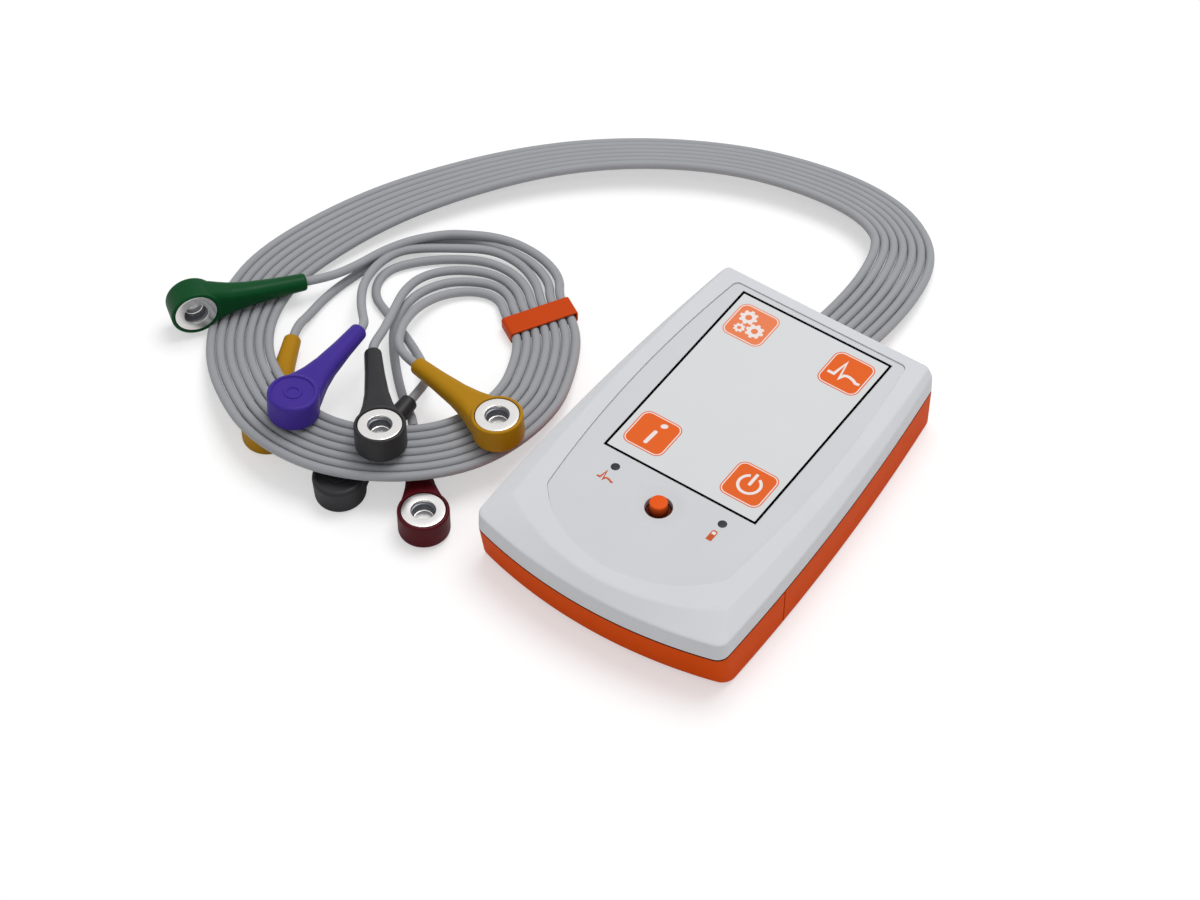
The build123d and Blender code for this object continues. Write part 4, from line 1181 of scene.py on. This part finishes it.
class RECORDER_OT_symbols(bpy.types.Operator):
    """Print the touch symbols and the two signs under the indicators."""
    bl_idname = "recorder.symbols"
    bl_label = "Symbols"

    def execute(self, context):
        case = context.scene.recorder_case
        orange = moulded("symbol_orange", case.symbol_colour, 0.3, depth=0.0)
        pale = moulded("symbol_pale", case.pale_symbol_colour, 0.3, depth=0.0)
        white = moulded("symbol_white", srgb("f3e9e6"), 0.3, depth=0.0, cloud=0.01)
        ink = moulded("sign_orange", srgb("cc5a2c"), 0.4, depth=0.0)
        figures = {
            "settings": ((-SYMBOL_X, SYMBOL_REAR_Y), pale, self.gears()),
            "trace": ((SYMBOL_X, SYMBOL_REAR_Y), orange, [self.trace(0.00075)]),
            "notes": ((-SYMBOL_X, SYMBOL_FRONT_Y), orange, self.notes()),
            "power": ((SYMBOL_X, SYMBOL_FRONT_Y), orange, self.power()),
        }
        top = PANEL_Z + PRINT_THICKNESS
        for name, (place, field, figure) in figures.items():
            edge, rim, inner = (self.square(place, inset)
                                for inset in (0, SYMBOL_LINE, SYMBOL_LINE + SYMBOL_GAP))
            for part, contours, finish, z, thickness in (
                    ("line", [edge, rim], field, PANEL_Z, THIN_PRINT),
                    ("gap", [rim, inner], white, PANEL_Z, THIN_PRINT),
                    ("field", [inner], field, PANEL_Z, PRINT_THICKNESS),
                    ("figure", [moved(c, place) for c in figure], white, top, THIN_PRINT)):
                finished(printed(f"{name}_{part}", contours, z, thickness), finish, "case",
                         "display_glass")
        small = moved(self.trace(0.0009), TRACE_SIGN, 0.5)
        body, cell = self.battery()
        for part, contours, finish, thickness in (
                ("trace", [small], ink, PRINT_THICKNESS),
                ("battery", [body, cell], ink, PRINT_THICKNESS),
                ("cell", [cell], white, THIN_PRINT)):
            finished(printed(f"sign_{part}", contours, PANEL_Z, thickness), finish, "case",
                     "panel_face")
        return {"FINISHED"}

    def square(self, place, inset):
        """Outline of a symbol's field, drawn in from its edge."""
        half = SYMBOL_SIDE / 2 - inset
        return moved(oblong(half, half, SYMBOL_CORNER - inset), place)

    def gears(self):
        """Three gears: middle, radius and hole of each."""
        contours = []
        for middle, radius, hole in (((-0.0017, 0.0016), 0.0022, 0.0008),
                                     ((0.0017, -0.0012), 0.0022, 0.0008),
                                     ((-0.0018, -0.00215), 0.0014, 0.0005)):
            teeth = []
            for tooth in range(8):
                start = math.tau * tooth / 8
                for share, reach in ((-0.2, 1.0), (0.2, 1.0), (0.32, 0.8), (0.68, 0.8)):
                    turn = start + math.tau / 8 * share
                    teeth.append(Vector(middle) + radius * reach
                                 * Vector((math.cos(turn), math.sin(turn))))
            contours += [teeth, circle(hole, DOT_STEPS, middle)]
        return contours

    def trace(self, width):
        """One heartbeat as a line."""
        return stroke([(-0.0039, -0.0016), (-0.0023, -0.0016), (-0.0015, 0.0027),
                       (-0.0006, -0.0021), (-0.0001, -0.0009), (0.0006, -0.0006),
                       (0.0013, -0.0006), (0.0024, -0.0009), (0.0032, -0.0014),
                       (0.0042, -0.0013)], width)

    def notes(self):
        """A leaning letter i."""
        dot = [Vector((0.001, 0.0031)) + Matrix.Rotation(0.5, 2) @ Vector((p.x, p.y * 0.75))
               for p in circle(0.00085, DOT_STEPS)]
        lean = Vector((0.0003, 0.0044))
        stem = oblong(0.00048, lean.length / 2, 0.00044)
        turn = Matrix.Rotation(-math.atan2(lean.x, lean.y), 2)
        return [dot, [Vector((0.00015, -0.0011)) + turn @ p for p in stem]]

    def power(self):
        """The on and off sign: an open ring with a bar in its gap."""
        gap = math.radians(27)
        start = math.pi / 2 + gap
        outer, inner = (circle(radius, 40, start=start, turn=math.tau - 2 * gap)
                        for radius in (0.0029, 0.0022))
        bar = moved(oblong(0.00038, 0.00185, 0.00025), (0, 0.0016))
        return [outer + inner[::-1], bar]

    def battery(self):
        """Outlines of a battery's sign: the body, and the light field near its end."""
        body = [(-0.0007, -0.0014), (0.0007, -0.0014), (0.0007, 0.0012), (0.00042, 0.0016),
                (-0.00042, 0.0016), (-0.0007, 0.0012)]
        cell = moved(oblong(0.00045, 0.0004, 0.00004), (0, 0.00085))
        return [moved(contour, BATTERY_SIGN) for contour in (body, cell)]


class RECORDER_OT_event_button(bpy.types.Operator):
    """Build the event button, and finish the indicators' light pipes."""
    bl_idname = "recorder.event_button"
    bl_label = "Event button"

    def execute(self, context):
        case = context.scene.recorder_case
        recess_z = BUTTON_LOW.z + BUTTON_RECESS
        flange_top = BUTTON_LOW.z + BUTTON_FLANGE_H
        base_z = PANEL_Z - BUTTON_BASE_DEPTH
        profile = eased([
            (0, recess_z), (BUTTON_BASE_R, recess_z), (BUTTON_BASE_R, BUTTON_LOW.z),
            (BUTTON_FLANGE_R, BUTTON_LOW.z), (BUTTON_FLANGE_R, flange_top),
            (BUTTON_BASE_R, flange_top), (BUTTON_BASE_R, base_z), (BUTTON_CAP_R, base_z),
            (BUTTON_CAP_R, BUTTON_HIGH.z), (0, BUTTON_HIGH.z),
        ], [0, 0, 0, 0, 0, 0.0002, 0.0003, 0.00022])
        button = shaped(lathe(bmesh.new(), profile, middle=(0, BUTTON_Y)), "button")
        finished(button, self.button_painted_shade_finish(case.button_colour, base_z), "button", "button",
                 "event_button")
        dark = moulded("indicator_dark", case.light_colour, 0.25, depth=0.0)
        profile = eased([(0, LIGHT_LOW.z), (LIGHT_R, LIGHT_LOW.z), (LIGHT_R, PANEL_Z),
                         (0, PANEL_Z)], [0, 0.00012])
        for name, x in (("pulse", -LIGHT_X), ("battery", LIGHT_X)):
            pipe = lathe(bmesh.new(), profile, LIGHT_STEPS, (x, LIGHT_Y))
            finished(shaped(pipe, f"indicator_{name}"), dark, "case", "light_window",
                     f"light_pipe_{name}")
        return {"FINISHED"}

    def button_painted_shade_finish(self, shade, base_z):
        """Orange with painted shade: darker down the cap's side into its well, where shade falls.
        """
        finish = Finish("button_orange")
        height = finish.add("ShaderNodeSeparateXYZ", None, {"Vector": finish.place()}, output="Z")
        share = (height - base_z) * (1 / (BUTTON_HIGH.z - base_z))
        return finish.surface({
            # Painted shade: a ramp by height darkens the orange from the cap's top edge down to
            # its base.
            "Base Color": finish.add("ShaderNodeValToRGB", {"stops": [
                (0.0, tint(shade, 0.1)[:3]), (0.82, tint(shade, 0.6)[:3]), (0.95, shade)]},
                {"Fac": share}),
            "Roughness": 0.4 + finish.noise(0.001) * 0.1, "Specular IOR Level": 0.1,
        })


class RECORDER_OT_lower_half(bpy.types.Operator):
    """Build the lower shell and the sliding battery door from one tub."""
    bl_idname = "recorder.lower_half"
    bl_label = "Lower half"

    def execute(self, context):
        colour = context.scene.recorder_case.lower_colour
        orange = moulded("lower_orange", colour, 0.5, gloss=0.04)
        # Painted shade: a near-black orange for the seam's rebate, standing in for the shadow in
        # the gap between the halves.
        shade = moulded("lower_shade", tint(colour, 0.12)[:3], 0.6)
        shell = self.tub("shell_lower", SHELL_SEAM_Y, 1)
        shell = combined(shell, self.shell_insides(), "UNION")
        shell = combined(shell, self.shell_openings(), "DIFFERENCE")
        door = combined(self.tub("door", DOOR_EDGE_Y, -1), self.door_ribs(), "UNION")
        for piece, body, node in ((shell, "case", "bottom_shell"), (door, "door", "battery_door")):
            finished(piece, orange, body, "lower_case", node)
            # Painted shade: the faces at and above the rebate's floor take the dark seam colour.
            painted(piece, shade, lambda middle: middle.z > SPLIT_Z - SEAM_REBATE - TOUCH)
        return {"FINISHED"}

    def tub(self, name, seam_y, way):
        """The lower half's tub, of which only the part behind or before the seam is kept."""
        def section(z, inset=0.0, front_inset=0.0):
            share = max(1 - z / SPLIT_Z, 0)
            return level(z, CASE_PLAN, inset=inset + SIDE_DRAFT * share,
                         front_inset=front_inset + FRONT_DRAFT * share)

        def edge_inset(z, radius):
            return radius - math.sqrt(radius ** 2 - max(radius - z, 0) ** 2)

        rings = []
        for i in range(BOTTOM_STEPS + 1):
            z = BOTTOM_FRONT_R * (1 - math.cos(math.pi / 2 * i / BOTTOM_STEPS))
            inset = edge_inset(z, BOTTOM_SIDE_R)
            rings.append(section(z, inset, edge_inset(z, BOTTOM_FRONT_R) - inset))
        rebate_z = SPLIT_Z - SEAM_REBATE
        walls = [rings[-1], section(rebate_z), section(rebate_z, SEAM_SHADOW),
                 section(SPLIT_Z - SEAM_GAP, SEAM_SHADOW), section(SPLIT_Z - SEAM_GAP, WALL),
                 section(FLOOR, WALL), section(FLOOR, WALL + 0.002)]
        rings += softened(walls, [0.00012, 0, 0, 0, 0])[1:]
        bm = loft(bmesh.new(), rings)
        parts = bm.verts[:] + bm.edges[:] + bm.faces[:]
        cut = bmesh.ops.bisect_plane(bm, geom=parts, plane_co=(0, seam_y, 0),
                                     plane_no=(0, -way, 0), clear_outer=True)
        edges = [e for e in cut["geom_cut"] if isinstance(e, bmesh.types.BMEdge)]
        bmesh.ops.holes_fill(bm, edges=edges)
        return shaped(bm, name)

    def shell_insides(self):
        """Wall behind the cells, the door's two rails with their tongues, posts and pins."""
        side = CASE_PLAN["half_width"] - WALL - FIT_GAP
        bm = block(bmesh.new(), (-side, SHELL_SEAM_Y, FLOOR / 2),
                   (side, SHELL_SEAM_Y + BULKHEAD, BOARD_Z))
        root_y = SHELL_SEAM_Y + 0.0001
        twin_blocks(bm, (RAIL_X, RAIL_FRONT_Y, FLOOR + 2 * FIT_GAP),
                    (RAIL_X + RAIL_WIDTH, root_y, SPLIT_Z - 2 * FIT_GAP))
        twin_blocks(bm, (RAIL_X + RAIL_WIDTH / 2, RAIL_FRONT_Y + 0.0001, TONGUE_Z),
                    (RAIL_X + RAIL_WIDTH + TONGUE_WIDTH, root_y, TONGUE_Z + TONGUE_HEIGHT))
        for middle in POSTS:
            post(bm, middle, POST_R, FLOOR / 2, SPLIT_Z - 0.0001)
        for middle in BOARD_PINS:
            post(bm, middle, BOARD_PIN_R, FLOOR / 2, BOARD_Z)
        return bm

    def shell_openings(self):
        """Sunk holes of the screws, and the socket's opening in the rear wall."""
        bm = bmesh.new()
        head_z, high = SCREW_SUNK + SCREW_HEAD_H, SPLIT_Z + OVERCUT
        sunk_r, shank_r = SCREW_HEAD_R + 0.0002, SCREW_SHANK_R + FIT_GAP
        profile = [(0, -OVERCUT), (sunk_r + 0.0002, -OVERCUT), (sunk_r, 0.0002), (sunk_r, head_z),
                   (shank_r, head_z), (shank_r, high), (0, high)]
        for middle in POSTS:
            lathe(bm, profile, POST_STEPS, middle)
        half_w, half_h = PLUG_SIZE[0] / 2 + FIT_GAP, PLUG_SIZE[1] / 2 + FIT_GAP
        return block(bm, (-half_w, REAR_Y - 2 * WALL, PLUG_Z - half_h),
                     (half_w, REAR_Y + WALL, PLUG_Z + half_h))

    def door_ribs(self):
        """Ribs of the door that slide on the rails' tongues."""
        low = TONGUE_Z + TONGUE_HEIGHT + FIT_GAP
        return twin_blocks(
            bmesh.new(), (RAIL_X + RAIL_WIDTH + 3 * FIT_GAP, RAIL_FRONT_Y + 0.001, low),
            (CASE_PLAN["half_width"] - WALL / 2, DOOR_EDGE_Y - 0.00005, low + RIB_HEIGHT))


class RECORDER_OT_screws(bpy.types.Operator):
    """Repeat the case screw at its four places."""
    bl_idname = "recorder.screws"
    bl_label = "Screws"

    def execute(self, context):
        zinc = metal("screw_zinc", srgb("b9b9b8"), 0.35)
        row = Pattern("case_screws", {
            "Head radius": SCREW_HEAD_R,
            "Head height": SCREW_HEAD_H,
            "Shank radius": SCREW_SHANK_R,
            "Shank length": SCREW_TOP_Z - SCREW_SUNK - SCREW_HEAD_H,
            "Slot width": SLOT_WIDTH,
        })
        head_radius, head_height = row.given("Head radius"), row.given("Head height")
        shank_length = row.given("Shank length")

        def tube(sides, radius, depth, middle):
            form = row.add("GeometryNodeMeshCylinder", None,
                           {"Vertices": sides, "Radius": radius, "Depth": depth}, output="Mesh")
            return row.add("GeometryNodeTransform", None,
                           {"Geometry": form, "Translation": row.vector({"Z": middle})})

        def bar(along, across):
            size = row.vector({along: head_radius * SLOT_REACH,
                               across: row.given("Slot width"), "Z": head_height})
            return row.add("GeometryNodeMeshCube", None, {"Size": size}, output="Mesh")

        head = tube(32, head_radius, head_height, head_height * 0.5)
        shank = tube(20, row.given("Shank radius"), shank_length,
                     head_height + shank_length * 0.5)
        cross = row.add("GeometryNodeMeshBoolean", {"operation": "UNION"},
                        {1: [bar("X", "Y"), bar("Y", "X")]})
        head = row.add("GeometryNodeMeshBoolean", {"operation": "DIFFERENCE"},
                       {0: head, 1: cross})
        screw = row.add("GeometryNodeJoinGeometry", None, {0: [head, shank]})
        screws = row.add("GeometryNodeInstanceOnPoints", None,
                         {"Points": row.given("Geometry"), "Instance": screw})
        row.close(screws, zinc)
        bm = bmesh.new()
        for x, y in POSTS:
            bm.verts.new((x, y, SCREW_SUNK))
        piece = row.made(bm, "screws")
        finished(piece, zinc, "case", "screw", "case_screw_rear_left", "case_screw_rear_right",
                 "case_screw_front_left", "case_screw_front_right")
        return {"FINISHED"}


class RECORDER_OT_power(bpy.types.Operator):
    """Build the two cells and finish their contacts."""
    bl_idname = "recorder.power"
    bl_label = "Cells and contacts"

    def execute(self, context):
        sleeve = moulded("cell_sleeve", srgb("3b3d45"), 0.3, depth=0.0)
        can = metal("cell_can", srgb("c9c9c7"), 0.3)
        spring = metal("contact_nickel", srgb("c7c6c2"), 0.32)
        for name, way in (("rear", 1), ("front", -1)):
            low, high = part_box(f"battery_cell_{name}")
            radius = (high.z - low.z) / 2
            middle = (low + high) / 2
            half = (high.x - low.x) / 2
            end_r, sleeve_r = radius - 0.0008, radius - CELL_SHOULDER
            foot_x, top_x = -half + 0.0002, half - CELL_NUB_H
            profile = eased([
                (0, -half), (end_r, -half), (end_r, foot_x), (radius, foot_x), (radius, top_x),
                (sleeve_r, top_x), (CELL_NUB_R, top_x - 0.0001), (CELL_NUB_R, half), (0, half),
            ], [0, 0, 0.0002, 0.0004, 0, 0, 0.0003])
            bm = lathe(bmesh.new(), profile, ROUND_STEPS)
            turn = Matrix.Rotation(way * math.pi / 2, 4, "Y")
            bmesh.ops.transform(bm, matrix=Matrix.Translation(middle) @ turn, verts=bm.verts)
            cell = finished(shaped(bm, f"cell_{name}"), sleeve, "case", "cell",
                            f"battery_cell_{name}")
            painted(cell, can, lambda spot: (spot - middle).yz.length < sleeve_r)
        for name in ("bridge", "positive", "negative"):
            node_finish(f"contact_{name}", spring)
        return {"FINISHED"}


class RECORDER_OT_electronics(bpy.types.Operator):
    """Finish the circuit board and the button's switch."""
    bl_idname = "recorder.electronics"
    bl_label = "Board and switch"

    def execute(self, context):
        mask = moulded("board_green", srgb("1f6a41"), 0.35, depth=0.000002, cloud=0.08)
        node_finish("circuit_board", mask)
        node_finish("button_switch", moulded("switch_black", srgb("242427"), 0.5))
        return {"FINISHED"}


PIECE_OPERATORS = (
    RECORDER_OT_stage, RECORDER_OT_plug, RECORDER_OT_band, RECORDER_OT_connectors,
    RECORDER_OT_leads, RECORDER_OT_upper_shell, RECORDER_OT_front_panel, RECORDER_OT_display,
    RECORDER_OT_symbols, RECORDER_OT_event_button, RECORDER_OT_lower_half, RECORDER_OT_screws,
    RECORDER_OT_power, RECORDER_OT_electronics,
)


class RECORDER_PT_pieces(bpy.types.Panel):
    """List of the pieces and of the sizes and colours that they take."""
    bl_idname = "RECORDER_PT_pieces"
    bl_label = "Holter monitor"
    bl_space_type = "VIEW_3D"
    bl_region_type = "UI"
    bl_category = "Recorder"

    def draw(self, context):
        column = self.layout.column()
        for operator in PIECE_OPERATORS:
            column.operator(operator.bl_idname)
        for settings in (context.scene.recorder_case, context.scene.recorder_leads,
                         context.scene.recorder_stage):
            column.separator()
            for name in settings.__annotations__:
                column.prop(settings, name)


SETTINGS = {"recorder_case": RecorderCase, "recorder_leads": RecorderLeads,
            "recorder_stage": RecorderStage}


def register():
    """Add the settings, the operators and their panel."""
    for name, settings in SETTINGS.items():
        bpy.utils.register_class(settings)
        setattr(bpy.types.Scene, name, bpy.props.PointerProperty(type=settings))
    for item in (*PIECE_OPERATORS, RECORDER_PT_pieces):
        bpy.utils.register_class(item)


def unregister():
    """Take the panel, the operators and the settings away again."""
    for item in reversed((*PIECE_OPERATORS, RECORDER_PT_pieces)):
        bpy.utils.unregister_class(item)
    for name, settings in reversed(SETTINGS.items()):
        delattr(bpy.types.Scene, name)
        bpy.utils.unregister_class(settings)


def main():
    """Build every piece in order."""
    register()
    for operator in PIECE_OPERATORS:
        group, name = operator.bl_idname.split(".")
        getattr(getattr(bpy.ops, group), name)()


if __name__ == "__main__":
    main()
